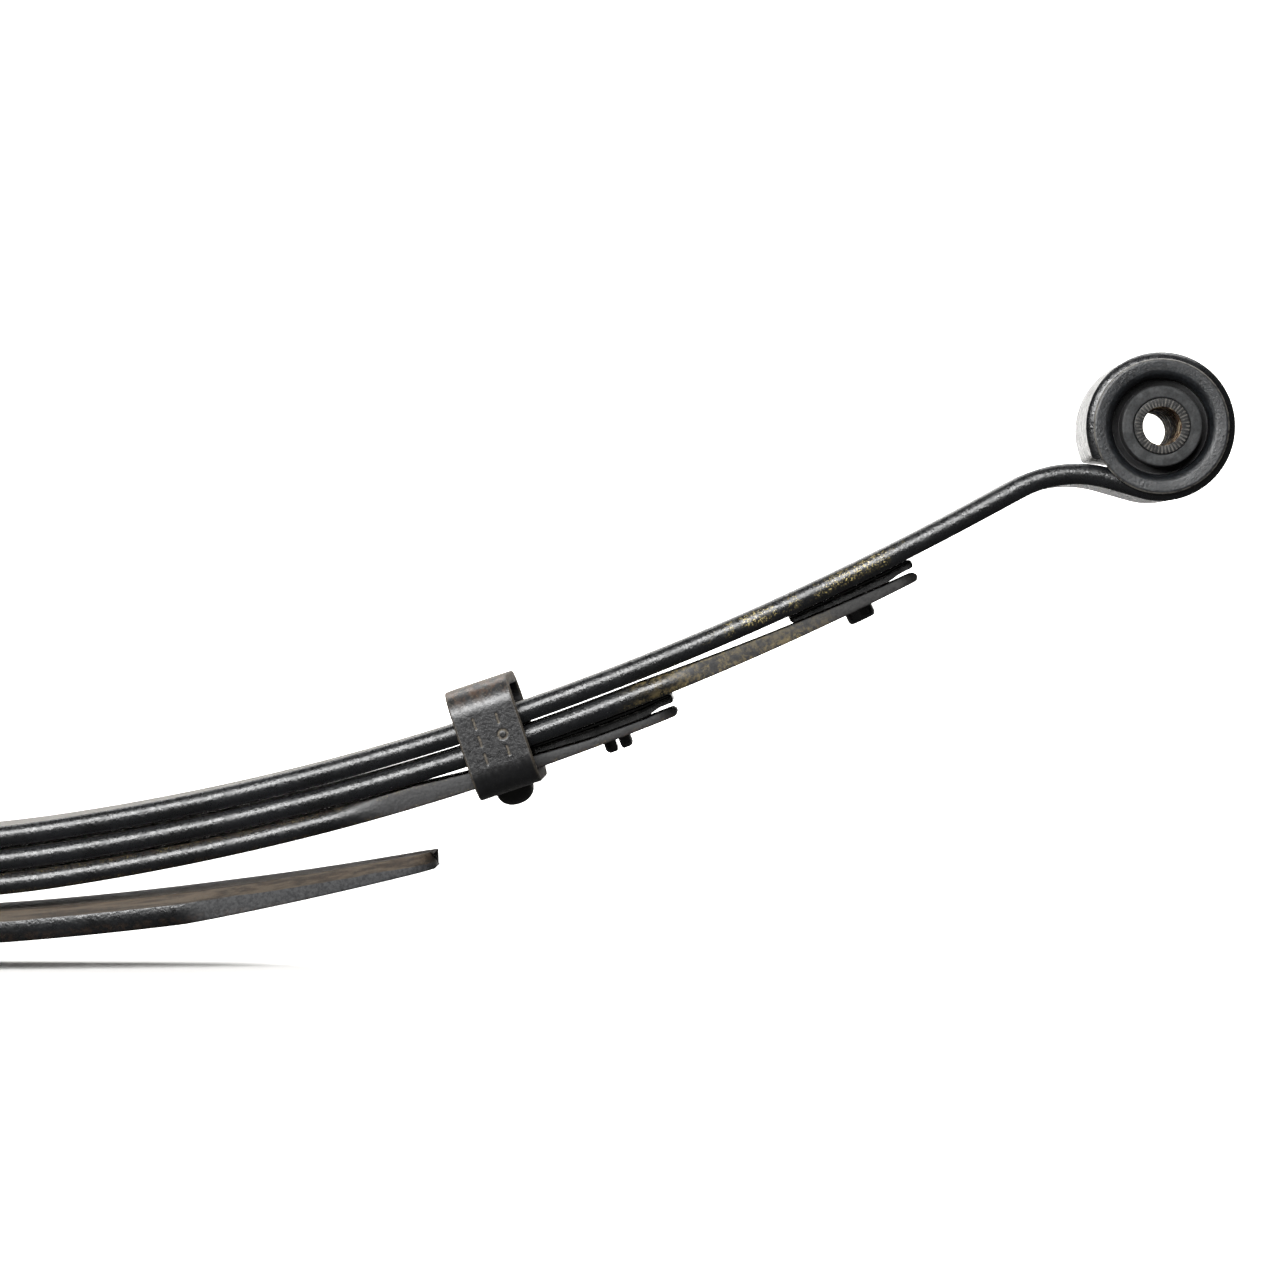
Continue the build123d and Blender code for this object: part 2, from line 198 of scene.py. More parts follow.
def eased(points, radius, closed=True, steps=4):
    # an outline with every corner rounded off
    made = []
    for i, point in enumerate(points):
        if not closed and i in (0, len(points) - 1):
            made.append(tuple(point))
            continue
        corner = Vector(point)
        back = Vector(points[i - 1]) - corner
        ahead = Vector(points[(i + 1) % len(points)]) - corner
        reach = min(radius, 0.45 * back.length, 0.45 * ahead.length)
        entry, leave = corner + back.normalized() * reach, corner + ahead.normalized() * reach
        for k in range(steps + 1):
            t = k / steps
            made.append(tuple(entry * (1 - t) ** 2 + corner * 2 * t * (1 - t) + leave * t**2))
    return made


def turned(name, outline, centre, axis, material, sides=128):
    # lathe work: outline points are (radius, height along the axis) in mm, and radius 0 closes it
    axis = Vector(axis).normalized()
    across = axis.orthogonal().normalized()
    other = axis.cross(across)
    onAxis = 1e-6
    work = bmesh.new()
    rings = []
    for radius, height in outline:
        ring = []
        for i in range(sides if radius > onAxis else 1):
            angle = 2 * pi * i / sides
            spoke = (across * cos(angle) + other * sin(angle)) * radius
            ring.append(work.verts.new(centre + (axis * height + spoke) * mm))
        rings.append(ring)
    if outline[0][0] > onAxis:
        rings.append(rings[0])
    for one, two in zip(rings, rings[1:]):
        for i in range(sides):
            k = (i + 1) % sides
            corners = [one[i % len(one)], one[k % len(one)], two[k % len(two)], two[i % len(two)]]
            corners = list(dict.fromkeys(corners))
            if len(corners) > 2:
                work.faces.new(corners)
    return workedPiece(name, work, material)


def stacked(name, outlines, base, sideWay, frontWay, upWay, material):
    # closed solid through a stack of outlines: each is a height and its own (side, front) points
    work = bmesh.new()
    rings = []
    for height, points in outlines:
        spots = [base + (sideWay * a + frontWay * b + upWay * height) * mm for a, b in points]
        rings.append([work.verts.new(spot) for spot in spots])
    for one, two in zip(rings, rings[1:]):
        for i in range(len(one)):
            k = (i + 1) % len(one)
            work.faces.new((one[i], one[k], two[k], two[i]))
    work.faces.new(rings[0])
    work.faces.new(rings[-1])
    return workedPiece(name, work, material)


def shrunk(points, amount):
    # a convex outline around its own middle, drawn in by about amount all round
    middle = Vector((sum(p[0] for p in points), sum(p[1] for p in points))) / len(points)
    arms = [Vector(point) - middle for point in points]
    return [tuple(middle + arm * max(0.02, 1 - amount / arm.length)) for arm in arms]


def newMaterial(name):
    material = bpy.data.materials.new(name)
    material.use_nodes = True
    material.node_tree.nodes.clear()
    return material, material.node_tree


def surfaced(tree, settings):
    # ends a material in its shader
    shader = addNode(tree, "ShaderNodeBsdfPrincipled", settings)
    addNode(tree, "ShaderNodeOutputMaterial", {"Surface": shader})


softEdge = {"interpolation_type": "SMOOTHSTEP"}


def grain(tree, where, size, detail=3.0, roughness=0.55, low=None, high=None, distortion=0.0):
    # noise with blotches about size mm across, as a mask with soft edges once low and high are given
    settings = {"Scale": 1 / (size * mm), "Detail": detail, "Roughness": roughness, "Distortion": distortion}
    field = addNode(tree, "ShaderNodeTexNoise", dict(settings, Vector=where))
    return field if low is None else addNode(tree, "ShaderNodeMapRange", softEdge | {0: field, 1: low, 2: high})


def overlap(tree, masks):
    # where several masks meet, and how strongly
    mask = masks[0]
    for other in masks[1:]:
        mask = addNode(tree, "ShaderNodeMath", {"operation": "MULTIPLY", "use_clamp": True, 0: mask, 1: other})
    return mask


def layered(tree, under, over, *masks):
    # one colour laid over another where its masks meet
    return addNode(tree, "ShaderNodeMix", {"data_type": "RGBA", 0: overlap(tree, masks), 6: under, 7: over}, 2)


def springPaint(name, looks):
    # Black bitumen spring paint sprayed on shot-peened steel: satin, with the orange peel of a thick
    # coat over the dimples of the peening, road dust on what faces up, its pale beige there partly a painted
    # reflection of the bright backdrop, and rust where it is cut.
    material, tree = newMaterial(name)
    where = addNode(tree, "ShaderNodeAttribute", {"attribute_name": "leafPlace"}, "Vector")
    streaky = addNode(tree, "ShaderNodeMapping", {"Scale": (0.06, 1.0, 1.0), "Vector": where})
    height = addNode(tree, "ShaderNodeSeparateXYZ", {0: where}, 2)
    trimmed, worn, rusty = (
        addNode(tree, "ShaderNodeAttribute", {"attribute_name": key}, "Fac") for key in ("trimmed", "worn", "rusty")
    )
    facing = addNode(tree, "ShaderNodeNewGeometry", {}, "Normal")
    facingUp = addNode(tree, "ShaderNodeSeparateXYZ", {0: facing}, 2)
    colour = {key: linear(value) for key, value in looks.items() if isinstance(value, str)}

    # thick and thin coat, then the cut sides, which are dull and speckled
    base = layered(tree, colour["paint"], colour["paintThin"], grain(tree, where, 26, 4, 0.55, 0.35, 0.65))
    cut = layered(tree, colour["cutDark"], colour["cutColour"], grain(tree, where, 1.5, 6, 0.75, 0.36, 0.62))
    base = layered(tree, base, cut, trimmed, looks["cutShare"])
    # dust lies in streaks along the leaf, over the top and down to the ragged edge of the dust line; on the top its
    # pale colour is partly a painted reflection
    streaks = grain(tree, streaky, 3.4, 7, 0.68)
    ragged = addNode(tree, "ShaderNodeMath", {"operation": "MULTIPLY_ADD", 0: streaks, 1: 1.6 * mm, 2: height})
    dustLine = looks["dustLine"] * mm
    dustLow = addNode(tree, "ShaderNodeMapRange", softEdge | {0: ragged, 1: dustLine, 2: dustLine + 0.4 * mm})
    # the pale colour on up-facing surfaces is partly dust, partly a painted reflection of the bright backdrop
    dustAndReflectionOnTop = addNode(tree, "ShaderNodeMapRange", softEdge | {0: facingUp, 1: 0.86, 2: 0.97})
    dustAndReflectionPlaces = addNode(tree, "ShaderNodeMath", {"operation": "MAXIMUM", 0: dustAndReflectionOnTop, 1: dustLow})
    strewn = {0: streaks, 1: looks["dustFrom"], 2: looks["dustFrom"] + 0.2}
    dustAndReflectionField = addNode(tree, "ShaderNodeMapRange", softEdge | strewn)
    dustAndReflectionMask = overlap(tree, (dustAndReflectionPlaces, dustAndReflectionField, looks["dustAndReflection"]))
    dustAndReflection = layered(tree, colour["dustAndReflectionDark"], colour["dustAndReflectionColour"], grain(tree, streaky, 1.8, 5, 0.65, 0.38, 0.62))
    base = layered(tree, base, dustAndReflection, dustAndReflectionMask)
    # rust stains where the mill scale broke
    rust = grain(tree, where, 3.2, 7, 0.72, 0.44, 0.6)
    base = layered(tree, base, colour["rustColour"], rusty, rust, looks["rust"])
    # scuffs down to the straw-coloured primer, as fine specks in drifts
    specks, drifts = grain(tree, where, 0.7, 4, 0.7, 0.53, 0.62), grain(tree, where, 7.0, 3, 0.6, 0.4, 0.6)
    base = layered(tree, base, colour["scuffColour"], specks, drifts, worn)

    satin = grain(tree, where, 2.4, 6, 0.68)
    sheen = {0: satin, 1: 0.3, 2: 0.7, 3: looks["rough"] - 0.09, 4: looks["rough"] + 0.12}
    rough = addNode(tree, "ShaderNodeMapRange", sheen)
    cutDull = overlap(tree, (trimmed, looks["cutDull"]))
    dull = addNode(tree, "ShaderNodeMath", {"operation": "MAXIMUM", 0: dustAndReflectionMask, 1: cutDull})
    roughness = addNode(tree, "ShaderNodeMix", {0: dull, 2: rough, 3: 0.8})

    # peening leaves 0.8 mm dimples: 1.1 mm here so that they still show from a metre away
    peened = {"feature": "SMOOTH_F1", "Scale": 1 / (1.1 * mm), "Smoothness": 0.5, "Vector": where}
    dimples = addNode(tree, "ShaderNodeTexVoronoi", peened)
    normal = None
    for share, depth, relief in ((1.0, 0.22, grain(tree, where, 1.2, 5, 0.66)), (0.8, 0.14, dimples)):
        ripples = {"Strength": looks["peel"] * share, "Distance": depth * mm, "Height": relief}
        normal = addNode(tree, "ShaderNodeBump", ripples | ({"Normal": normal} if normal else {}))
    surfaced(tree, {"Base Color": base, "Roughness": roughness, "IOR": 1.5, "Normal": normal})
    return material


leafLooks = {
    "paint": "#08090a",
    "paintThin": "#0f1012",
    "rough": 0.28,
    "peel": 0.6,
    "dustAndReflection": 0.45,
    "dustFrom": 0.22,
    "dustLine": 50.0,  # height on the side down to which dust lies; out of reach for a clean side
    # pale beige on the tops: partly dust, partly a painted reflection
    "dustAndReflectionColour": "#6d665a",
    "dustAndReflectionDark": "#575044",
    "cutShare": 0.85,
    "cutDull": 0.75,
    "cutColour": "#45423d",
    "cutDark": "#1d1b19",
    "rust": 0.8,
    "rustColour": "#5b4330",
    "scuffColour": "#b3a36c",
}
secondLooks = {"dustAndReflection": 0.3, "cutColour": "#2b2a29", "cutDark": "#111110", "rustColour": "#5d5238"}
thirdLooks = {"dustAndReflection": 0.3, "cutColour": "#232324", "cutDark": "#0e0e0e", "cutDull": 0.6}
overloadLooks = {
    "dustAndReflection": 0.97,
    "dustFrom": 0.2,
    "dustLine": 2.6,
    "dustAndReflectionColour": "#443b30",
    "dustAndReflectionDark": "#241d15",
    "cutColour": "#3a3a3b",
    "cutDark": "#17181a",
    "scuffColour": "#4f4a40",
}
clipLooks = {
    "paint": "#0d0d0e",
    "paintThin": "#161617",
    "dustAndReflection": 0.55,
    "dustAndReflectionColour": "#5b5344",
    "scuffColour": "#67604f",
    "rough": 0.34,
    "cutColour": "#5a5144",
    "cutDark": "#332d26",
    "cutDull": 1.0,
    "peel": 0.42,
}
mainPaint = springPaint("springPaintOnPeenedSteel", leafLooks)
secondPaint = springPaint("springPaintOnShearedSteel", leafLooks | secondLooks)
thirdPaint = springPaint("springPaintOnRolledTip", leafLooks | thirdLooks)
overloadPaint = springPaint("dustySpringPaint", leafLooks | overloadLooks)
clipPaint = springPaint("paintedClipStrap", leafLooks | clipLooks)


def coatedMaterial(name, looks):
    # A material of even make, from its table. fields are noises: size in mm, detail, roughness and the
    # mask's low and high. layers are colours with their masks, rough and relief name the field they follow.
    material, tree = newMaterial(name)
    where = addNode(tree, "ShaderNodeTexCoord", {}, "Object")
    fields = {"worn": addNode(tree, "ShaderNodeAttribute", {"attribute_name": "worn"}, "Fac")}
    for key, sizes in looks["fields"].items():
        fields[key] = grain(tree, where, *sizes)
    base = linear(looks["ground"])
    for over, *masks in looks["layers"]:
        base = layered(tree, base, linear(over), *(fields.get(mask, mask) for mask in masks))
    surface = {"Base Color": base} | looks.get("sockets", {})
    if "rough" in looks:
        key, low, high = looks["rough"]
        sheen = {0: fields[key], 1: 0.3, 2: 0.7, 3: low, 4: high}
        surface["Roughness"] = addNode(tree, "ShaderNodeMapRange", sheen)
    if "relief" in looks:
        key, strength, depth = looks["relief"]
        relief = {"Strength": strength, "Distance": depth * mm, "Height": fields[key]}
        surface["Normal"] = addNode(tree, "ShaderNodeBump", relief)
    if "bore" in looks:
        # inside the tube the coat gives way to grease, rust and bare metal, with hardly a gleam
        grease, rust, metal = (linear(code) for code in looks["bore"])
        inner = layered(tree, grease, layered(tree, rust, metal, fields["bare"]), fields["clean"])
        surface["Base Color"] = layered(tree, base, inner, fields["worn"])
        surface["Roughness"] = addNode(tree, "ShaderNodeMix", {0: fields["worn"], 2: surface["Roughness"], 3: 0.8})
        for socket, coated, bored in (("Metallic", 0.35, 0.0), ("Specular IOR Level", 0.5, 0.06)):
            change = {0: fields["worn"], 1: 0.0, 2: 1.0, 3: coated, 4: bored}
            surface[socket] = addNode(tree, "ShaderNodeMapRange", change)
    surfaced(tree, surface)
    return material


# Black glass-filled nylon, injection moulded: glossy skin with slight flow marks, and a painted highlight in light grey
# along the ribs
nylonLooks = {
    "fields": {"flow": (6, 4, 0.6, None, None, 0.8), "ribHighlightNoise": (4, 5, 0.65, 0.38, 0.6), "skin": (1.4, 3)},
    "ground": "#0a0a0a",
    # the light grey laid over the rib crest is a painted highlight
    "layers": (("#121212", "flow"), ("#8b8a86", "worn", "ribHighlightNoise", 0.55)),
    "rough": ("flow", 0.2, 0.32),
    "relief": ("skin", 0.3, 0.05),
    "sockets": {"IOR": 1.53},
}
# Natural rubber, moulded and bonded in the shell: matt black, greyer where it bloomed or was rubbed
rubberLooks = {
    "fields": {"bloom": (5, 5, 0.62, 0.3, 0.72), "rubbed": (1.2, 5, 0.7, 0.38, 0.62), "skin": (1.0, 5, 0.65)},
    "ground": "#0a0a0b",
    "layers": (("#121313", "bloom", 0.6), ("#1e2021", "worn", "rubbed")),
    "rough": ("bloom", 0.62, 0.8),
    "relief": ("skin", 0.8, 0.2),
    "sockets": {"IOR": 1.52},
}
# Phosphated steel tube: near-black ends, its bore patchy with bare metal, old grease and rust
sleeveLooks = {
    "fields": {"grit": (1.6, 6, 0.65), "bare": (3.6, 4, 0.6, 0.5, 0.58), "clean": (2.6, 5, 0.65, 0.42, 0.5)},
    "ground": "#080808",
    "layers": (("#131211", "grit"),),
    "bore": ("#110c07", "#4b3626", "#a3957c"),
    "rough": ("grit", 0.36, 0.58),
    "relief": ("grit", 0.5, 0.1),
}
# The crests of the teeth, rubbed to bare steel by the bracket they were clamped against
toothLooks = {
    "fields": {"rubbed": (2.6, 4, 0.65, 0.36, 0.62)},
    "ground": "#0d0d0d",
    "layers": (("#4e4c48", "rubbed"),),
    "sockets": {"Metallic": 0.4, "Roughness": 0.42},
}
# Pressed steel tube, dip coated black: smooth satin, its rim painted lighter: partly the coat rubbed thin, partly a
# painted highlight
shellLooks = {
    "fields": {
        "patches": (7, 5, 0.6),
        "speckle": (1.3, 5, 0.7, 0.4, 0.62),
        "rubbed": (2.2, 5, 0.65, 0.3, 0.55),
        "skin": (1.1, 5, 0.65),
    },
    "ground": "#07080a",
    # the lighter rim is partly rubbed coat, partly a painted highlight
    "layers": (("#15181b", "speckle"), ("#65625c", "worn", "rubbed", 0.8)),
    "rough": ("patches", 0.34, 0.5),
    "relief": ("skin", 0.9, 0.26),
}
# Black phosphate on rolled-thread steel: dark grey with a dry, grainy gleam
fastenerLooks = {
    "fields": {"grit": (1.8, 6, 0.65)},
    "ground": "#1d1d1d",
    "layers": (("#373533", "grit"),),
    "rough": ("grit", 0.42, 0.62),
    "relief": ("grit", 0.4, 0.06),
    "sockets": {"Metallic": 0.55},
}
nylon = coatedMaterial("mouldedBlackNylon", nylonLooks)
rubber = coatedMaterial("mouldedBushRubber", rubberLooks)
sleeveSteel = coatedMaterial("phosphatedSleeveSteel", sleeveLooks)
toothSteel = coatedMaterial("rubbedToothSteel", toothLooks)
shellCoat = coatedMaterial("dipCoatedShellSteel", shellLooks)
fastenerSteel = coatedMaterial("blackPhosphateSteel", fastenerLooks)
print("finishes made")


def sweptBarTree():
    # leaves, pads and clip straps all grow from this one tree
    sizes = [(label, "Float") for label in ("Width", "Thickness", "Edge bulge", "Trimmed bulge")]
    inputs = [("Spine", "Geometry"), ("Section", "Object")] + sizes + [("Finish", "Material")]
    tree, given = newTree("sweptBar", inputs)
    vectors = ("cuts", "sectionPlace", "upWay", "sideWay", "spot")
    field = {}
    for name in vectors + ("trimmed", "sectionInset", "along"):
        kind = "FLOAT_VECTOR" if name in vectors else "FLOAT"
        field[name] = addNode(tree, "GeometryNodeInputNamedAttribute", {"data_type": kind, "Name": name})

    spine = addNode(tree, "GeometryNodeMeshToCurve", {0: given["Spine"]})
    ring = addNode(tree, "GeometryNodeObjectInfo", {"Object": given["Section"]}, "Geometry")
    section = addNode(tree, "GeometryNodeMeshToCurve", {0: ring})
    bar = addNode(tree, "GeometryNodeCurveToMesh", {"Curve": spine, "Profile Curve": section, "Fill Caps": True})

    # cuts holds what is rolled off the top and the bottom and trimmed off each side
    cuts = addNode(tree, "ShaderNodeSeparateXYZ", {0: field["cuts"]}).node.outputs
    part = addNode(tree, "ShaderNodeSeparateXYZ", {0: field["sectionPlace"]}).node.outputs
    bulges = {0: field["trimmed"], 2: given["Edge bulge"], 3: given["Trimmed bulge"]}
    value = {
        "topCut": cuts[0],
        "bottomCut": cuts[1],
        "sideCut": cuts[2],
        "across": part[0],
        "level": part[1],
        "roundness": part[2],
        "bulge": addNode(tree, "ShaderNodeMix", bulges),
        "inset": field["sectionInset"],
        "width": given["Width"],
        "thickness": given["Thickness"],
        "halfOf": 0.5,
    }
    sums = (
        ("lost", "ADD", "topCut", "bottomCut"),
        ("left", "SUBTRACT", "thickness", "lost"),
        ("half", "MULTIPLY", "left", "halfOf"),
        ("shift", "SUBTRACT", "bottomCut", "topCut"),
        ("middle", "MULTIPLY", "shift", "halfOf"),
        ("rise", "MULTIPLY", "level", "half"),
        ("height", "ADD", "middle", "rise"),
        ("halfWidth", "MULTIPLY", "width", "halfOf"),
        ("narrowed", "SUBTRACT", "halfWidth", "sideCut"),
        ("flat", "SUBTRACT", "narrowed", "bulge"),
        ("flatPart", "MULTIPLY", "across", "flat"),
        ("roundPart", "MULTIPLY", "roundness", "bulge"),
        ("reach", "ADD", "flatPart", "roundPart"),
        ("sideways", "SUBTRACT", "reach", "inset"),
    )
    for made, operation, one, two in sums:
        value[made] = addNode(tree, "ShaderNodeMath", {"operation": operation, 0: value[one], 1: value[two]})
    spot = field["spot"]
    moves = [
        addNode(tree, "ShaderNodeVectorMath", {"operation": "SCALE", 0: field[way], "Scale": value[made]})
        for way, made in (("upWay", "height"), ("sideWay", "sideways"))
    ]
    offset = addNode(tree, "ShaderNodeVectorMath", {"operation": "ADD", 0: moves[0], 1: moves[1]})
    spot = addNode(tree, "ShaderNodeVectorMath", {"operation": "ADD", 0: spot, 1: offset})
    leafPlace = addNode(tree, "ShaderNodeCombineXYZ", {0: field["along"], 1: value["sideways"], 2: value["height"]})
    noted = {"data_type": "FLOAT_VECTOR", "Name": "leafPlace", "Geometry": bar, "Value": leafPlace}
    stored = addNode(tree, "GeometryNodeStoreNamedAttribute", noted)
    shaped = addNode(tree, "GeometryNodeSetPosition", {"Geometry": stored, "Position": spot})
    return closeTree(tree, shaped, given["Finish"])


sweptBar = sweptBarTree()


def storeField(mesh, name, values):
    # one number or one vector for each vertex
    values = np.asarray(values, np.float32)
    kind, part = ("FLOAT", "value") if values.ndim == 1 else ("FLOAT_VECTOR", "vector")
    attribute = mesh.attributes.get(name) or mesh.attributes.new(name, kind, "POINT")
    attribute.data.foreach_set(part, values.ravel())


def vertexSpots(mesh):
    spots = np.empty(len(mesh.vertices) * 3)
    mesh.vertices.foreach_get("co", spots)
    return spots.reshape(-1, 3)


def sectionRing(name, flats, sideSteps, arcHalf, corner):
    # Closed ring of section points. flats are the distances in from each corner where the flat
    # faces have a point, sideSteps the points on each side, arcHalf the half angle of its arc.
    points = []  # side, height, bulge share, inset
    for face in (1, -1):
        row = [(face * side, face, 0.0, face * side * inset) for side in (-1, 1) for inset in flats]
        row.sort(key=lambda p: face * (p[0] * 100 - p[3]))
        points += row
        for i in range(sideSteps + 1):
            atCorner = i in (0, sideSteps)
            angle = arcHalf * (1 - 2 * i / sideSteps)
            share = (cos(angle) - cos(arcHalf)) / (1 - cos(arcHalf))
            inset = corner * 0.28 if atCorner else 0.0
            level = sin(angle) / sin(arcHalf) * (0.985 if atCorner else 1.0)
            points.append((face, face * level, face * share, face * inset))
    mesh = bpy.data.meshes.new(name)
    count = len(points)
    # the ring is spread out so that it converts as one closed curve
    turns = [2 * pi * i / count for i in range(count)]
    spread = [(cos(turn) * mm, sin(turn) * mm, 0) for turn in turns]
    mesh.from_pydata(spread, [(i, (i + 1) % count) for i in range(count)], [])
    storeField(mesh, "sectionPlace", [point[:3] for point in points])
    storeField(mesh, "sectionInset", [point[3] * mm for point in points])
    return newPiece(name, mesh)


def sweepBar(name, rows, section, sizes, material):
    # rows are dictionaries of mm and plain vectors: spot, upWay, sideWay, along, cuts, trimmed
    mesh = bpy.data.meshes.new(name)
    mesh.from_pydata([row["spot"] * mm for row in rows], [(i, i + 1) for i in range(len(rows) - 1)], [])
    for key, scale in (("spot", mm), ("upWay", 1.0), ("sideWay", 1.0), ("cuts", mm)):
        storeField(mesh, key, [Vector(row[key]) * scale for row in rows])
    for key, scale in (("along", mm), ("trimmed", 1.0)):
        storeField(mesh, key, [row[key] * scale for row in rows])
    values = {
        "Section": section,
        "Width": sizes["width"] * mm,
        "Thickness": sizes["thick"] * mm,
        "Edge bulge": sizes["bulge"] * mm,
        "Trimmed bulge": sizes["trimmedBulge"] * mm,
        "Finish": material,
    }
    bar = finished(growTree(name, mesh, sweptBar, values))
    for face in bar.data.polygons:
        face.use_smooth = len(face.vertices) < 5  # the two end caps stay flat
    for spare in ("spot", "upWay", "sideWay", "cuts", "along", "sectionPlace", "sectionInset"):
        if spare in bar.data.attributes:
            bar.data.attributes.remove(bar.data.attributes[spare])
    return bar


def paintWear(piece, rule):
    # stores how worn each vertex is and where a highlight is painted on it, from its place in the world and on the bar
    mesh = piece.data
    onBar = np.zeros(len(mesh.vertices) * 3)
    if "leafPlace" in mesh.attributes:
        mesh.attributes["leafPlace"].data.foreach_get("vector", onBar)
    shares = rule(vertexSpots(mesh) / mm, onBar.reshape(-1, 3) / mm)
    for key, share in zip(("worn", "rusty", "trimmed"), shares):
        storeField(mesh, key, share)
    return piece


def zone(value, low, high, soft):
    # 1 inside low to high, fading to 0 over soft on both sides
    return np.clip(np.minimum(value - low, high - value) / soft + 1, 0, 1)


leafStack = {
    "width": 60.0,
    "thick": 8.0,
    "bulge": 1.9,  # rounded-out edge of the rolled bar
    "trimmedBulge": 0.3,
    "gap": 1.1,
    "seatHalf": 50.0,
    "bends": ((592.0, 8.72), (1002.0, 10.74), (1205.0, 9.0)),  # radius and turn of each
    "rowStep": 4.0,
    "tightStep": 1.2,
    "endEase": 0.35,
    "noseShare": 0.45,  # how round a shorter leaf's end is, as a share of its thickness
    "clipStation": 313.0,
    "tipStation": 447.0,
}
eyeEnd = {
    "neck": 16.9,
    "humpRadius": 45.0,
    "fall": 16.0,
    "entry": 13.4,
    "outer": 56.6,
    "scroll": 318.0,
    "endTilt": 38.0,
    "tiltOver": 9.0,
}
clipStation, tipStation = leafStack["clipStation"], leafStack["tipStation"]
seatTop = place("centre_nut", (0.5, 0.5, 0.0)).z / mm
seatLevel = seatTop - leafStack["thick"] / 2
edgeInsets = (0.3, 0.9, 2.4, 9.0, 22.0)
rolledEdge = asin(leafStack["thick"] / 2 / ((16 + leafStack["bulge"] ** 2) / (2 * leafStack["bulge"])))
rolledRing = sectionRing("rolledRing", edgeInsets, 14, rolledEdge, 0.5)


def leafRuns(layer):
    # Seat and bends of a leaf, counted down from the main one: the gap opens over the first bend
    stack = leafStack
    (rootRadius, rootTurn), *outerBends = stack["bends"]
    earlier = layer * stack["gap"] / (1 - cos(radians(rootTurn)))
    depth = layer * (stack["thick"] + stack["gap"])
    runs = [(stack["seatHalf"] + earlier * sin(radians(rootTurn)), 0.0)]
    runs.append(((rootRadius + depth - earlier) * radians(rootTurn), rootTurn))
    return runs + [((radius + depth) * radians(turn), turn) for radius, turn in outerBends]


def walkTo(runs, level, distance):
    # point and slope after a distance along straight runs and arcs
    x, z, slope = 0.0, level, 0.0
    for length, turn in runs:
        part = min(distance, length)
        bend = radians(turn) * part / length
        if turn:
            radius = length / radians(turn)
            x += radius * (sin(slope + bend) - sin(slope))
            z += radius * (cos(slope) - cos(slope + bend))
        else:
            x += part * cos(slope)
            z += part * sin(slope)
        slope += bend
        distance -= part
        if distance <= 0:
            break
    return x, z, slope


def distanceTo(runs, level, x):
    # distance along a leaf at which it passes x
    low, high = 0.0, 2 * x + 1
    for _ in range(40):
        half = (low + high) / 2
        if walkTo(runs, level, half)[0] < x:
            low = half
        else:
            high = half
    return low


def leafAxes(slope):
    # up off the leaf, and outwards along it
    return Vector((-sin(slope), 0, cos(slope))), Vector((cos(slope), 0, sin(slope)))


def spaced(start, end, step):
    count = max(1, ceil((end - start) / step - 1e-6))
    return [start + (end - start) * i / count for i in range(count + 1)]


def leafRow(runs, level, distance, cuts=(0.0, 0.0, 0.0), trimmed=0.0):
    x, z, slope = walkTo(runs, level, distance)
    return {
        "spot": Vector((x, 0, z)),
        "upWay": leafAxes(slope)[0],
        "sideWay": Vector((0, 1, 0)),
        "along": distance,
        "cuts": cuts,
        "trimmed": trimmed,
    }


def thinnedShare(leaf, x):
    return min(1.0, max(0.0, (x - leaf["thins"]) / (leaf["thinned"] - leaf["thins"])))


def shortLeafRows(level, runs, leaf, fromX, toX):
    # Rows of a shorter leaf, which thins and narrows towards a tip with round corners
    tip, corner = leaf["tip"], leaf["corner"]
    atTip = toX == tip
    start = distanceTo(runs, level, fromX) if fromX else 0.0
    end = distanceTo(runs, level, toX)
    distances = spaced(start, end - corner if atTip else end, leafStack["rowStep"])
    if atTip:
        distances += [end - corner * cos(pi / 2 * i / 14) for i in range(1, 14)]
        distances += [end - 0.08, end]
    rows = []
    for distance in distances:
        x = walkTo(runs, level, distance)[0]
        rolledOff = (leaf["thick"] - leaf["tipThick"]) * thinnedShare(leaf, x)
        wide = leaf["width"] / 2 + 1
        run = max(0.0, (x - leaf["narrows"]) / (tip - leaf["narrows"]))
        planHalf = min(leaf["width"] / 2, wide - (wide - leaf["tipWidth"] / 2) * run)
        trim = leaf["width"] / 2 - planHalf
        left = end - distance
        if atTip and left < corner:
            trim += corner - (corner**2 - (corner - left) ** 2) ** 0.5
        nose = leaf["tipThick"] * leaf["noseShare"]
        ease = nose - (nose**2 - (nose - left) ** 2) ** 0.5 if atTip and left < nose else 0.0
        ease = min(ease, 0.97 * nose)
        trimmed = min(1.0, trim / leaf["bulge"])
        top, bottom = (rolledOff, 0.0) if leaf["thinsOnTop"] else (0.0, rolledOff)
        rows.append(leafRow(runs, level, distance, (top + ease, bottom + ease, trim), trimmed))
    return rows


def leafPair(name, node, rows, paint, wear):
    # a front piece of a leaf and its rear twin
    front = paintWear(sweepBar("front_" + name, rows, rolledRing, leafStack, paint), wear)
    for side, piece, sign in (("front", front, 1), ("rear", mirrored(front), -1)):
        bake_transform(piece)
        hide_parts(node)


# where the paint is scuffed, rusted and stained, as distances from the middle
wearZones = {"scuff": (405.0, 452.0), "rust": (372.0, 392.0), "stain": (385.0, 428.0), "edges": (366.0, 430.0)}


def mainWear(spots, onBar):
    # scuffs on the middle of the side, over the second leaf's tip
    middleOfSide = zone(onBar[:, 2], -1.2, 2.2, 1.4)
    scuffed = zone(np.abs(spots[:, 0]), *wearZones["scuff"], 16.0)
    return 0.95 * scuffed * middleOfSide, 0 * scuffed


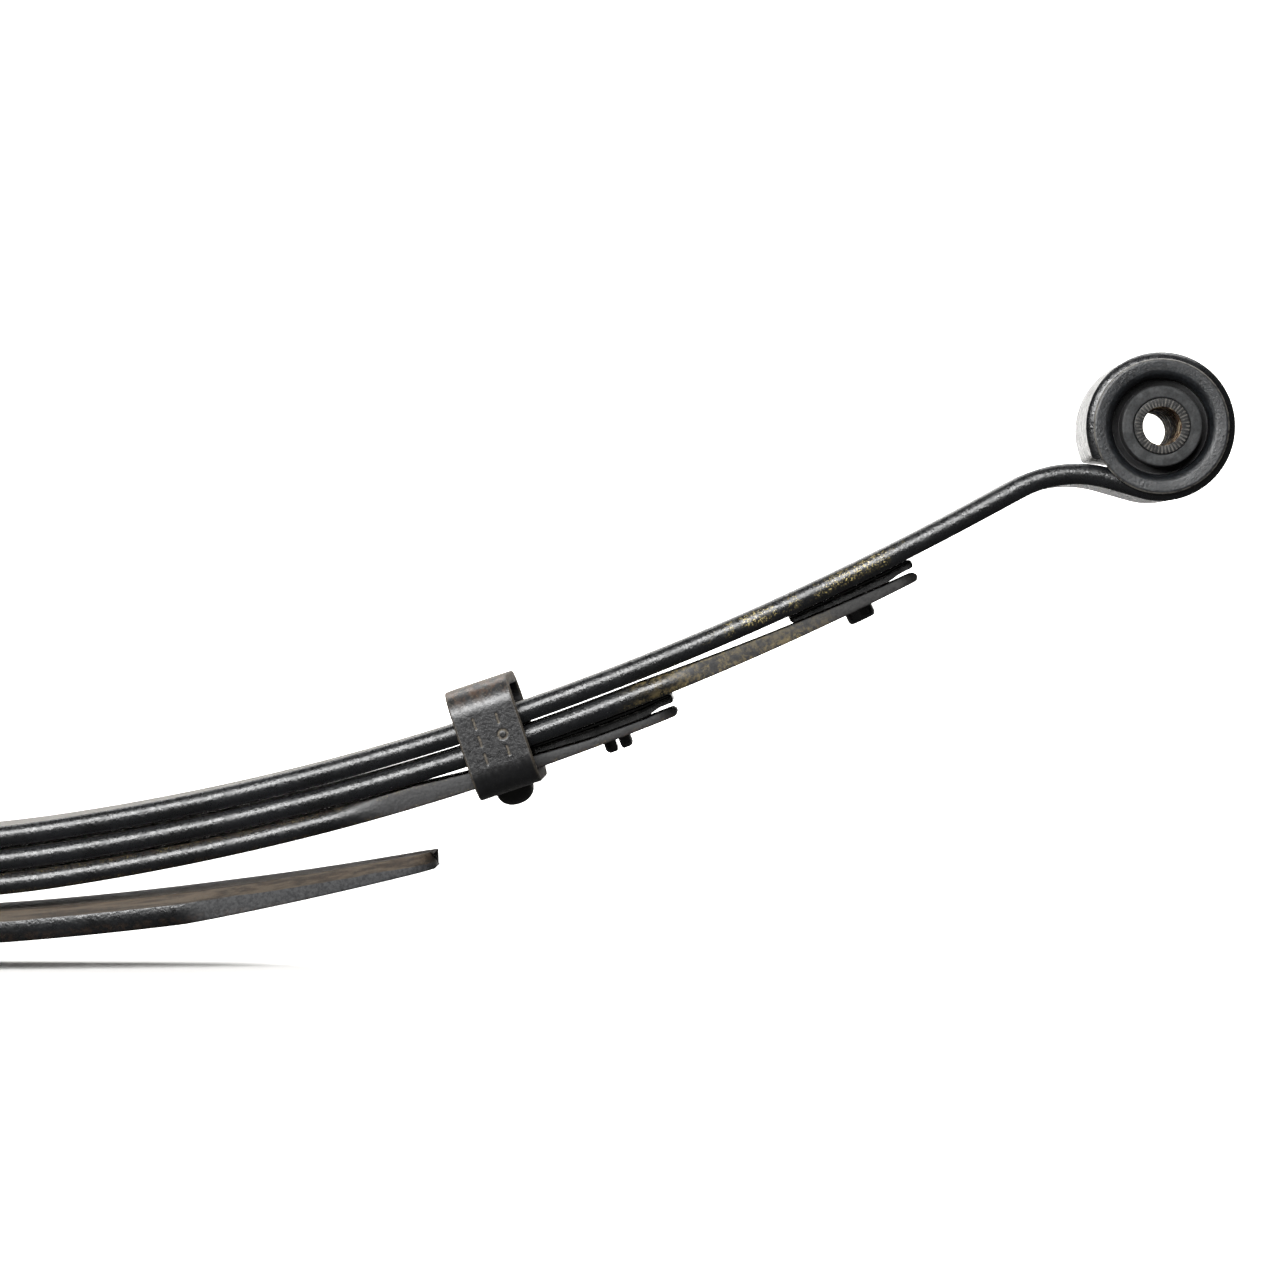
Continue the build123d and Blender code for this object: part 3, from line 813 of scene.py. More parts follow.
def secondWear(spots, onBar):
    # rust from where the shears went in, and along the lower edge and the rolled tip's upper edge
    out, high = np.abs(spots[:, 0]), onBar[:, 2]
    cutStart = zone(out, *wearZones["rust"], 12.0)
    edges = zone(np.abs(high), 2.6, 5.0, 1.2) * zone(out, *wearZones["edges"], 10.0)
    stained = zone(out, *wearZones["stain"], 14.0)
    rust = 0.5 * cutStart * (high > 0) + 0.3 * cutStart + 0.5 * edges + 0.6 * stained
    return 0.25 * edges, np.clip(rust, 0, 1)


def plainWear(spots, onBar):
    edges = zone(np.abs(onBar[:, 2]), 3.2, 7.0, 1.0)
    return 0.15 * edges, 0.12 * edges


mainRuns = leafRuns(0)
climb = sum(turn for _, turn in mainRuns)
mainRuns.append((eyeEnd["neck"], 0.0))
humpStart = sum(length for length, _ in mainRuns)
mainRuns.append((eyeEnd["humpRadius"] * radians(climb + eyeEnd["fall"]), -(climb + eyeEnd["fall"])))
mainRuns.append((eyeEnd["entry"], 0.0))
mainRuns.append(((eyeEnd["outer"] - leafStack["thick"]) / 2 * radians(eyeEnd["scroll"]), eyeEnd["scroll"]))
mainLength = sum(length for length, _ in mainRuns)
atClip, atTip = (distanceTo(mainRuns, seatLevel, station) for station in (clipStation, tipStation))
rowStep, endEase = leafStack["rowStep"], leafStack["endEase"]
innerRows = [leafRow(mainRuns, seatLevel, d) for d in spaced(0.0, atClip, rowStep)]
middleRows = [leafRow(mainRuns, seatLevel, d) for d in spaced(atClip, atTip, rowStep)]
outerDistances = spaced(atTip, humpStart, rowStep)
outerDistances += spaced(humpStart, mainLength - endEase, leafStack["tightStep"])[1:]
outerRows = [leafRow(mainRuns, seatLevel, d) for d in outerDistances]
outerRows.append(leafRow(mainRuns, seatLevel, mainLength, (endEase, endEase, endEase)))
for row in outerRows:
    # the bar was cut slanting, so that its end lies flat over the leaf
    share = max(0.0, 1 - (mainLength - row["along"]) / eyeEnd["tiltOver"])
    onward = Vector((row["upWay"].z, 0, -row["upWay"].x))
    row["upWay"] = row["upWay"] + onward * tan(radians(eyeEnd["endTilt"]) * share * share * (3 - 2 * share))
eyeLeft = place("front_bush_shell").x / mm - eyeEnd["outer"] / 2
for name, rows, bodies, reach in (
    ("main_leaf_inner", innerRows, ("spring_pack", "clip"), (leafStack["seatHalf"], clipStation)),
    ("main_leaf_middle", middleRows, ("clip", "leaf_tip"), (clipStation, tipStation)),
    ("main_leaf_eye", outerRows, ("leaf_tip", "eye"), (tipStation, eyeLeft)),
):
    leafPair(name, "main_leaf", rows, mainPaint, mainWear)
print("main leaf made, with both eyes")

shortLeaf = leafStack | {"tipThick": 3.6, "corner": 8.0, "thinsOnTop": True}
secondLeaf = shortLeaf | {"tip": 470.0, "thins": 365.0, "thinned": 470.0, "narrows": 366.0, "tipWidth": 36.0}
thirdLeaf = shortLeaf | {"tip": 378.0, "thins": 280.0, "thinned": 345.0, "narrows": 240.0, "tipWidth": 34.0}
secondRuns, secondLevel = leafRuns(1), seatLevel - leafStack["thick"]
thirdRuns, thirdLevel = leafRuns(2), seatLevel - 2 * leafStack["thick"]
rows = shortLeafRows(secondLevel, secondRuns, secondLeaf, 0.0, clipStation)
leafPair("second_leaf_inner", "second_leaf", rows, secondPaint, secondWear)
rows = shortLeafRows(secondLevel, secondRuns, secondLeaf, clipStation, secondLeaf["tip"])
leafPair("second_leaf_tip", "second_leaf", rows, secondPaint, secondWear)
rows = shortLeafRows(thirdLevel, thirdRuns, thirdLeaf, 0.0, thirdLeaf["tip"])
leafPair("third_leaf_half", "third_leaf", rows, thirdPaint, plainWear)
print("second and third leaves made")

overload = {
    "width": 60.0,
    "thick": 12.0,
    "bulge": 1.9,
    "trimmedBulge": 0.3,
    "bends": ((977.0, 5.26), (1565.0, 5.42)),
    "tipThick": 6.5,
    "thins": 190.0,
    "narrows": 182.0,
    "tipWidth": 30.0,
    "corner": 9.0,
    "thinsOnTop": False,
    "noseShare": 0.12,
}
overloadRuns = [(leafStack["seatHalf"], 0.0)] + [(radius * radians(turn), turn) for radius, turn in overload["bends"]]
overload["tip"] = overload["thinned"] = walkTo(overloadRuns, 6.0, sum(run[0] for run in overloadRuns))[0]
frontRows = shortLeafRows(overload["thick"] / 2, overloadRuns, overload, 0.0, overload["tip"])
rearRows = []
for row in reversed(frontRows[1:]):
    spot, upWay = (row[key] * Vector((-1, 0, 1)) for key in ("spot", "upWay"))
    rearRows.append(row | {"along": -row["along"], "spot": spot, "upWay": upWay})
overloadRing = sectionRing("overloadRing", edgeInsets, 16, radians(35), 0.5)
overloadPiece = sweepBar("overload_leaf_bar", rearRows + frontRows, overloadRing, overload, overloadPaint)
fitted(paintWear(overloadPiece, plainWear), "spring_pack", "overload_leaf")
print("overload leaf made")

# rebound clips: a strap bent round the three upper leaves, held by a rivet
clip = {
    "length": 25.0,
    "thick": 4.5,
    "outerWidth": 73.0,
    "outerHeight": 43.5,
    "corner": 11.0,
    "seam": 0.8,
    "clearance": 0.3,
    "bulge": 0.35,
    "markDepth": 0.25,
    "markLine": 0.36,
    "rivetHead": 15.0,
    "rivetRise": 6.5,
    "rivetShank": 8.0,
    "upset": 12.0,
    "upsetThick": 1.4,
    "upsetLift": 0.2,
}
# plain bars (length) and a ring (radius) pressed into the near side: place along and across it, kind, size
clipMarks = (
    (-7.0, -4.6, "bar", 4.4),
    (0.0, -4.6, "bar", 4.4),
    (7.0, -4.6, "bar", 4.4),
    (-6.4, 4.4, "bar", 4.0),
    (0.0, 4.4, "ring", 1.7),
    (6.4, 4.4, "bar", 4.0),
)
clipX, clipZ, clipSlope = walkTo(thirdRuns, thirdLevel, distanceTo(thirdRuns, thirdLevel, clipStation))
clipUp, clipAlong = leafAxes(clipSlope)
clipFoot = Vector((clipX, 0, clipZ)) - clipUp * (leafStack["thick"] / 2 + clip["clearance"])


def strapRows():
    # Rows round the strap from one side of its seam to the other, closest where the marks are pressed
    inset = clip["thick"] / 2
    halfWide = clip["outerWidth"] / 2 - inset
    low, high = inset - clip["thick"], clip["outerHeight"] - clip["thick"] - inset
    bend = clip["corner"] - inset
    corners = [Vector(corner) for corner in ((-halfWide, high), (-halfWide, low), (halfWide, low), (halfWide, high))]
    ways = [Vector(way) for way in ((-1, 0), (0, -1), (1, 0), (0, 1), (-1, 0))]
    plainStep, markStep = 2.5, 0.3
    line = []  # side and height of each point, and the way the strap runs there

    def straight(start, end, step):
        for share in spaced(0.0, 1.0, step / max(step, (end - start).length)):
            line.append((start.lerp(end, share), (end - start).normalized()))

    here = Vector((-clip["seam"] / 2, high))
    for corner, way, nextWay in zip(corners, ways, ways[1:]):
        straight(here, corner - way * bend, markStep if way.y < 0 else plainStep)
        centre = corner - way * bend + nextWay * bend
        for i in range(1, 12):
            angle = pi / 2 * i / 12
            spoke = -nextWay * cos(angle) + way * sin(angle)
            line.append((centre + spoke * bend, way * cos(angle) + nextWay * sin(angle)))
        here = corner + nextWay * bend
    straight(here, Vector((clip["seam"] / 2, high)), plainStep)
    rows, along = [], 0.0
    for i, (point, way) in enumerate(line):
        along += (point - line[i - 1][0]).length if i else 0.0
        ease = 0.5 if i in (0, len(line) - 1) else 0.0
        outward = Vector((way.y, -way.x)) * -1
        row = {"spot": clipFoot + Vector((0, 1, 0)) * point.x + clipUp * point.y, "along": along}
        row |= {"upWay": Vector((0, 1, 0)) * outward.x + clipUp * outward.y, "sideWay": clipAlong}
        rows.append(row | {"cuts": (ease, ease, ease), "trimmed": 0.0})
    return rows


def pressMarks(piece):
    # pushes the marks into the near side of the strap
    spots = vertexSpots(piece.data)
    local = spots / mm - np.array(clipFoot)
    nearFace = local[:, 1] < -clip["outerWidth"] / 2 + 0.05
    along = local @ np.array(clipUp) - (clip["outerHeight"] / 2 - clip["thick"])
    across = local @ np.array(clipAlong)
    depth = np.zeros(len(spots))
    for down, side, kind, size in clipMarks:
        if kind == "ring":
            far = np.abs(np.hypot(along + down, across - side) - size)
        else:
            far = np.hypot(np.maximum(np.abs(along + down) - size / 2 + 0.3, 0), across - side)
        depth = np.maximum(depth, np.clip(1.6 - far / clip["markLine"], 0, 1))
    depth = depth * depth * (3 - 2 * depth) * nearFace
    spots[:, 1] += depth * clip["markDepth"] * mm
    piece.data.vertices.foreach_set("co", spots.ravel())
    return depth


def strapWear(spots, onBar):
    # paint rubbed off the edges, the upper bends and the marks
    up = (spots - np.array(clipFoot)) @ np.array(clipUp)
    edge = np.clip((np.abs(onBar[:, 1]) - clip["length"] / 2 + 1.0) / 1.0, 0, 1)
    upper = np.clip((up - clip["outerHeight"] + clip["thick"] + 9.0) / 9.0, 0, 1)
    worn = np.clip(0.35 * edge + 0.6 * upper + 0.9 * pressedDepth, 0, 1)
    return worn, 0.6 * upper, np.maximum(edge, 0.8 * pressedDepth)


# flat strap: close points across its outer face for the marks, eased corners, slightly rounded edges
strapHalf = clip["length"] / 2 - clip["bulge"]
strapInsets = [0.25, 0.7, 1.6] + [strapHalf - 9.0 + 0.32 * i for i in range(29)]
strapRing = sectionRing("strapRing", strapInsets, 8, radians(40), 0.9)
strapSizes = clip | {"width": clip["length"], "trimmedBulge": clip["bulge"]}
frontStrap = sweepBar("front_clip_strap", strapRows(), strapRing, strapSizes, clipPaint)
pressedDepth = pressMarks(frontStrap)
fittedPair(paintWear(frontStrap, strapWear), "clip", "clip_band")

shankHalf, upsetHalf, headHalf, rise = clip["rivetShank"] / 2, clip["upset"] / 2, clip["rivetHead"] / 2, clip["rivetRise"]
upsetBase = leafStack["thick"] + clip["thick"] + 2 * clip["clearance"] + clip["upsetLift"]
upsetBase -= (leafStack["thick"] - thirdLeaf["tipThick"]) * thinnedShare(thirdLeaf, clipStation)
upsetTop = upsetBase + clip["upsetThick"]
rivetOutline = [(0.0, -rise)]
for i in range(1, 15):
    angle = pi / 2 * i / 14
    rivetOutline.append((headHalf * sin(angle) ** 0.94, -rise * cos(angle) ** 0.9 if i < 14 else -0.3))
rivetOutline += [(headHalf - 0.3, 0.0), (shankHalf, 0.0), (shankHalf, upsetBase)]
upsetOutline = [(shankHalf, upsetBase), (upsetHalf, upsetBase), (upsetHalf, upsetTop), (0.0, upsetTop)]
rivetOutline += eased(upsetOutline, 0.5, closed=False)[1:]
rivetFoot = (clipFoot - clipUp * clip["thick"]) * mm
frontRivet = turned("front_clip_rivet_head", rivetOutline, rivetFoot, clipUp, fastenerSteel, 64)
fittedPair(frontRivet, "clip", "clip_rivet")
print("clips and rivets made")

# anti-squeak pads with their plugs
pads = {
    "second": {"layer": 1, "start": 420.0, "end": 466.0, "plug": 447.0, "width": 44.0, "split": False},
    "third": {"layer": 2, "start": 321.0, "end": 375.0, "plug": 354.0, "width": 42.0, "split": True},
}
padShape = {
    "lip": 3.4,
    "step": 8.0,
    "lipLength": 5.0,
    "clearance": 0.3,
    "plugDia": 11.2,
    "plugDrop": 4.6,
    "plugRound": 2.0,
    "slot": 1.3,
    "thick": 0.0,
    "bulge": 1.3,
    "trimmedBulge": 1.3,
}


def padRing():
    # eased block with one rib standing out along each side, near the top
    ring = sectionRing("padRing", (0.3, 0.9, 3.0, 10.0), 20, radians(80), 0.6)
    for spot in ring.data.attributes["sectionPlace"].data:
        side, level, share = spot.vector
        if share:
            rib = max(0.0, 1 - abs(level - 0.28) / 0.2)
            out = 0.45 * min(1.0, abs(share) * 2.2) + 0.55 * rib
            spot.vector = (side, level, (1 if share > 0 else -1) * out)
    return ring


padSection = padRing()


def leafThickness(leaf, x):
    return leaf["thick"] - (leaf["thick"] - leaf["tipThick"]) * thinnedShare(leaf, x)


def padRows(pad, leaf):
    # Rows along the underside of the leaf above: the pad fills the gap, then ends in a thin lip
    runs, level = leafRuns(pad["layer"] - 1), seatLevel - (pad["layer"] - 1) * leafStack["thick"]
    start, end = (distanceTo(runs, level, pad[key]) for key in ("start", "end"))
    lipStart = end - padShape["lipLength"]
    distances = [start, start + 0.25, start + 0.8] + spaced(start + 1.5, lipStart - padShape["step"], 1.6)
    distances += spaced(lipStart - padShape["step"], lipStart + 1.0, 0.8)[1:]
    distances += spaced(lipStart + 1.8, end - 0.9, 1.0) + [end - 0.5, end - 0.2, end]
    rows = []
    for distance in distances:
        row = leafRow(runs, level, distance)
        x = row["spot"].x
        row["spot"] = row["spot"] - row["upWay"] * (leafStack["thick"] / 2 + padShape["clearance"])
        gap = leafStack["gap"] + leafStack["thick"] - leafThickness(leaf, x) - 2 * padShape["clearance"]
        step = min(1.0, max(0.0, (distance - lipStart) / padShape["step"] + 1))
        step = step * step * (3 - 2 * step)
        deep = gap + (padShape["lip"] - gap) * step
        nose = 0.95 * (1 - min(1.0, (end - distance) / 0.9)) ** 2
        heel = 0.8 * (1 - min(1.0, (distance - start) / 0.8)) ** 2
        row["cuts"] = (nose + heel * 0.5, nose + heel - deep, 1.2 * nose + heel)
        rows.append(row)
    return rows


def plugParts(pad, leaf):
    # a round plug through the leaf, or two lobes of one that is cut by a slot
    runs, level = leafRuns(pad["layer"]), seatLevel - pad["layer"] * leafStack["thick"]
    x, z, slope = walkTo(runs, level, distanceTo(runs, level, pad["plug"]))
    up, along = leafAxes(slope)
    foot = Vector((x, 0, z)) - up * (leafStack["thick"] / 2 + padShape["plugDrop"])
    reach = padShape["plugDrop"] + leafThickness(leaf, pad["plug"]) + 2 * padShape["clearance"]
    radius, ease = padShape["plugDia"] / 2, padShape["plugRound"]
    if not pad["split"]:
        outline = eased([(0.0, 0.0), (radius, 0.0), (radius, reach)], ease, closed=False, steps=8)
        return [turned("plug", outline + [(0.0, reach)], foot * mm, up, nylon, 64)]
    limit = pi / 2 - asin(padShape["slot"] / 2 / radius)
    outline = [(radius * cos(a), radius * sin(a)) for a in (limit * (1 - 2 * i / 28) for i in range(29))]
    stack = []
    for i in range(6, -1, -1):
        angle = pi / 2 * i / 6
        stack.append((ease * (1 - sin(angle)), shrunk(outline, ease * (1 - cos(angle)))))
    stack.append((reach, outline))
    return [stacked("plug", stack, foot * mm, along * way, Vector((0, 1, 0)), up, nylon) for way in (1, -1)]


def padRibHighlight(spots, onBar):
    # painted highlight: light grey along the rib and at the tip
    side = np.abs(onBar[:, 1])
    return (np.clip((side - side.max() + 0.5) / 0.4, 0, 1),)


for which, leaf, body in (("second", secondLeaf, "leaf_tip"), ("third", thirdLeaf, "clip")):
    pad = pads[which]
    block = sweepBar("padBlock", padRows(pad, leaf), padSection, padShape | pad, nylon)
    # the rib's light grey is a painted highlight
    parts = [paintWear(block, padRibHighlight)] + plugParts(pad, leaf)
    fittedPair(joinedPiece("front_" + which + "_pad", parts), body, which + "_leaf_pad")
print("pads made")

bush = {
    "flangeDia": 51.4,
    "flangeThick": 2.0,
    "shellWall": 2.0,
    "mouthDia": 39.4,
    "bossDia": 30.6,
    "bossProud": 1.0,
    "grooveDeep": 9.0,
    "sleeveDia": 21.3,
    "sleeveBore": 14.4,
    "sleeveLength": 68.0,
    "teeth": 44,
    "toothDeep": 0.5,
    "toothWidth": 0.5,
}
eyeCentre = place("front_bush_sleeve")
shellOuter = eyeEnd["outer"] / 2 - leafStack["thick"] - 0.05
shellInner = shellOuter - bush["shellWall"]
leafSide = leafStack["width"] / 2
flangeFace = -leafSide - 0.3 - bush["flangeThick"]
flangeHalf, mouthHalf = bush["flangeDia"] / 2, bush["mouthDia"] / 2
acrossY = (0, 1, 0)


def ringWear(low, high, soft, beyond=None):
    # worn between two radii round the eye, and only further out than beyond
    def rule(spots, onBar):
        centre = np.array(eyeCentre) / mm
        worn = zone(np.hypot(spots[:, 0] - centre[0], spots[:, 2] - centre[2]), low, high, soft)
        if beyond is not None:
            worn = worn * (np.abs(spots[:, 1]) > beyond)
        return (worn,)

    return rule


shellOutline = [
    (shellInner, leafSide - 1),
    (shellOuter, leafSide - 1),
    (shellOuter, -leafSide - 0.3),
    (flangeHalf, -leafSide - 0.3),
    (flangeHalf, flangeFace + 0.45),
    (flangeHalf - 0.9, flangeFace),
    (mouthHalf + 1.3, flangeFace + 0.35),
    (mouthHalf, flangeFace + 1.2),
    (shellInner + 0.3, flangeFace + 3.2),
    (shellInner, flangeFace + 5.0),
]
frontShell = turned("front_bush_flange", eased(shellOutline, 0.5, steps=3), eyeCentre, acrossY, shellCoat, 160)
# the flange rim painted lighter: partly rubbed coat, partly a painted highlight
paintWear(frontShell, ringWear(flangeHalf - 0.35, flangeHalf + 1, 0.2))

bossEnd = flangeFace - bush["bossProud"]
grooveSide = bush["grooveDeep"] - 2.0
bossHalf, boreHalf = bush["bossDia"] / 2, bush["sleeveDia"] / 2 + 0.05
rubberOutline = [
    (boreHalf, bossEnd),
    (bossHalf, bossEnd),
    (bossHalf, flangeFace + bush["grooveDeep"]),
    (shellInner, flangeFace + grooveSide),
    (shellInner, leafSide - grooveSide),
    (bossHalf, leafSide - bush["grooveDeep"]),
    (bossHalf, -bossEnd),
    (boreHalf, -bossEnd),
]
frontRubber = turned("front_bush_rubber_ring", eased(rubberOutline, 0.8), eyeCentre, acrossY, rubber, 160)
paintWear(frontRubber, ringWear(boreHalf, bossHalf - 0.4, 0.4, -bossEnd - 0.6))


def toothTree():
    # raised ridges standing round one end of the sleeve
    ridgeSizes = ("Ridge length", "Ridge width", "Ridge height")
    floats = [(label, "Float") for label in ("Ring radius",) + ridgeSizes]
    tree, given = newTree("sleeveTeeth", [("Teeth", "Int")] + floats + [("Finish", "Material")])
    circle = {"fill_type": "NONE", "Vertices": given["Teeth"], "Radius": given["Ring radius"]}
    ring = addNode(tree, "GeometryNodeMeshCircle", circle)
    size = addNode(tree, "ShaderNodeCombineXYZ", {i: given[label] for i, label in enumerate(ridgeSizes)})
    ridge = addNode(tree, "GeometryNodeMeshCube", {0: size})
    index = addNode(tree, "GeometryNodeInputIndex")
    turn = addNode(tree, "ShaderNodeMath", {"operation": "DIVIDE", 0: index, 1: given["Teeth"]})
    angle = addNode(tree, "ShaderNodeMath", {"operation": "MULTIPLY", 0: turn, 1: 2 * pi})
    facing = addNode(tree, "ShaderNodeCombineXYZ", {2: angle})
    standing = {"Points": ring, "Instance": ridge, "Rotation": facing}
    return closeTree(tree, addNode(tree, "GeometryNodeInstanceOnPoints", standing), given["Finish"])


toothRing = toothTree()
sleeveHalf, ridgeHigh = bush["sleeveLength"] / 2, 2 * bush["toothDeep"]


def sleeveEnd(way):
    # the teeth of one end, turned to face along Y
    values = {
        "Teeth": bush["teeth"],
        "Ring radius": (bush["sleeveDia"] + bush["sleeveBore"]) / 4 * mm,
        "Ridge length": ((bush["sleeveDia"] - bush["sleeveBore"]) / 2 - 0.5) * mm,
        "Ridge width": bush["toothWidth"] * mm,
        "Ridge height": ridgeHigh * mm,
        "Finish": toothSteel,
    }
    ridges = growTree("ridges", bpy.data.meshes.new("ridges"), toothRing, values)
    spot = Matrix.Translation(eyeCentre + Vector((0, way * (sleeveHalf * mm - ridgeHigh * mm / 2), 0)))
    ridges.data.transform(spot @ Matrix.Rotation(-way * pi / 2, 4, "X"))
    return ridges


endLevel = sleeveHalf - bush["toothDeep"]
boreHalf, outerHalf = bush["sleeveBore"] / 2, bush["sleeveDia"] / 2
tubeOutline = [(boreHalf, -endLevel), (outerHalf, -endLevel), (outerHalf, endLevel), (boreHalf, endLevel)]
tube = turned("tube", eased(tubeOutline, 0.35, steps=3), eyeCentre, acrossY, sleeveSteel)
frontSleeve = joinedPiece("front_bush_sleeve_tube", [tube, sleeveEnd(1), sleeveEnd(-1)])
paintWear(frontSleeve, ringWear(0.0, boreHalf + 0.1, 0.15))
fittedPair(frontShell, "eye", "bush_shell")
fittedPair(frontRubber, "eye", "bush_rubber")
fittedPair(frontSleeve, "sleeve", "bush_sleeve")
print("bushes made")

# clamped middle: spacer, bolt and nut
middle = {
    "spacerLength": 98.0,
    "spacerCorner": 4.0,
    "spacerEase": 0.5,
    "boltDia": 12.0,
    "headDia": 19.0,
    "headEase": 1.0,
    "recess": 0.5,
    "threadPitch": 1.75,
    "threadDeep": 0.9,
    "nutFlats": 19.0,
    "nutEase": 1.1,
}
spacerBox, boltBox, nutBox = ([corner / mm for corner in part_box("centre_" + node)] for node in ("spacer", "bolt", "nut"))
(spacerLow, spacerHigh), (boltLow, boltHigh), (nutLow, nutHigh) = spacerBox, boltBox, nutBox
origin, worldAxes = Vector((0, 0, 0)), (Vector((1, 0, 0)), Vector((0, 1, 0)), Vector((0, 0, 1)))

halfL, halfW, ease = middle["spacerLength"] / 2, (spacerHigh.y - spacerLow.y) / 2, middle["spacerEase"]
spacerCorners = [(halfL, halfW), (-halfL, halfW), (-halfL, -halfW), (halfL, -halfW)]
spacerPlan = eased(spacerCorners, middle["spacerCorner"], steps=8)
spacerStack = []
for height, inset in ((spacerLow.z, ease), (spacerLow.z + ease, 0.0), (spacerHigh.z - ease, 0.0), (spacerHigh.z, ease)):
    plan = [(a * (1 - 2 * inset / middle["spacerLength"]), b * (1 - inset / spacerHigh.y)) for a, b in spacerPlan]
    spacerStack.append((height, plan))
spacer = stacked("centre_spacer_block", spacerStack, origin, *worldAxes, fastenerSteel)
fitted(spacer, "spring_pack", "centre_spacer")


def threadTree():
    # a ridge wound round the bolt
    floats = [(label, "Float") for label in ("Radius", "Length", "Pitch", "Depth")]
    tree, given = newTree("boltThread", floats + [("Finish", "Material")])
    turns = addNode(tree, "ShaderNodeMath", {"operation": "DIVIDE", 0: given["Length"], 1: given["Pitch"]})
    root = addNode(tree, "ShaderNodeMath", {"operation": "SUBTRACT", 0: given["Radius"], 1: given["Depth"]})
    spiral = {"Resolution": 40, "Rotations": turns, "Start Radius": root, "End Radius": root, "Height": given["Length"]}
    helix = addNode(tree, "GeometryNodeCurveSpiral", spiral)
    upright = addNode(tree, "GeometryNodeSetCurveNormal", {"mode": "Z_UP", "Curve": helix})
    halfPitch = addNode(tree, "ShaderNodeMath", {"operation": "MULTIPLY", 0: given["Pitch"], 1: 0.46})
    diamond = {"mode": "RADIUS", "Resolution": 4, "Radius": halfPitch}
    ridge = addNode(tree, "GeometryNodeCurvePrimitiveCircle", diamond)
    wound = {"Curve": upright, "Profile Curve": ridge, "Fill Caps": True}
    return closeTree(tree, addNode(tree, "GeometryNodeCurveToMesh", wound), given["Finish"])


boltHalf, headHalf, headEase = middle["boltDia"] / 2, middle["headDia"] / 2, middle["headEase"]
coreHalf = boltHalf - middle["threadDeep"]
boltOutline = [
    (0.0, boltLow.z),
    (headHalf - headEase, boltLow.z),
    (headHalf, boltLow.z + headEase),
    (headHalf, middle["recess"]),
    (boltHalf, middle["recess"]),
    (boltHalf, nutLow.z),
    (coreHalf, nutLow.z),
    (coreHalf, boltHigh.z - 0.6),
    (coreHalf - 0.6, boltHigh.z),
    (0.0, boltHigh.z),
]
boltOutline = eased(boltOutline, 0.3, closed=False, steps=3)
core = turned("core", boltOutline, origin, (0, 0, 1), fastenerSteel, 64)
threadValues = {
    "Radius": boltHalf * mm,
    "Length": (boltHigh.z - nutLow.z - 2.0) * mm,
    "Pitch": middle["threadPitch"] * mm,
    "Depth": middle["threadDeep"] * mm,
    "Finish": fastenerSteel,
}
thread = growTree("thread", bpy.data.meshes.new("thread"), threadTree(), threadValues)
thread.data.transform(Matrix.Translation((0, 0, (nutLow.z + 0.9) * mm)))
fitted(joinedPiece("centre_bolt_threaded", [core, thread]), "spring_pack", "centre_bolt")


def clippedHexagon(flats, limit, sides=6, steps=8):
    # outline of a nut, with enough points on each flat for its chamfer to curve
    points = []
    for i in range(sides):
        for k in range(steps):
            angle = 2 * pi * (i + k / steps) / sides
            reach = flats / 2 / cos(pi / sides - 2 * pi * k / steps / sides)
            share = min(1.0, limit / reach)
            points.append((reach * cos(angle) * share, reach * sin(angle) * share))
    return points


flatsHalf = middle["nutFlats"] / 2
chamferStart = flatsHalf - 0.2
chamferRun = flatsHalf / cos(pi / 6) - flatsHalf + 0.2
nutStack = []
for end, way in ((nutLow.z, 1), (nutHigh.z, -1)):
    for share in (0.0, 0.35, 0.7, 1.0)[::way]:
        outline = clippedHexagon(middle["nutFlats"], chamferStart + chamferRun * share)
        nutStack.append((end + way * middle["nutEase"] * share, outline))
nut = stacked("centre_nut_hexagon", nutStack, origin, *worldAxes, fastenerSteel)
fitted(nut, "spring_pack", "centre_nut")
for ring in (rolledRing, overloadRing, strapRing, padSection):
    bpy.data.objects.remove(ring)
print("middle made")

# floor, light and camera
studio = {
    "floor": "#f4f3f1",
    "floorSize": 16.0,
    "sweepBack": 3.0,
    "sweepRadius": 1.8,
    "sweepHigh": 4.5,
    "floorDark": 0.06,  # how much of the floor's paleness the spring itself sees
    "air": 0.93,
    "airFill": 0.07,
    "floorGlow": 1.0,  # keeps the floor outside the lights as pale as the rest
    "lens": 127.2,
    "eyePoint": (0.4015, -1.75, 0.142),
    "lookAt": (0.365, -0.03, 0.1184),
}
# softboxes: name, place, what it faces, width, height, watts
softboxes = (
    ("frontSoftbox", (-0.45, -2.1, 1.1), (0.25, 0.0, 0.1), 2.2, 0.8, 150.0),
    ("overheadSoftbox", (0.5, 0.6, 2.4), (0.3, 0.3, 0.0), 2.6, 1.4, 70.0),
    ("wallLight", (0.2, 1.6, 2.6), (0.2, 4.0, 0.6), 4.0, 0.8, 240.0),
)


def aimed(piece, spot, target):
    piece.location = spot
    piece.rotation_euler = (Vector(target) - piece.location).to_track_quat("-Z", "Y").to_euler()
    bpy.context.scene.collection.objects.link(piece)
    return piece


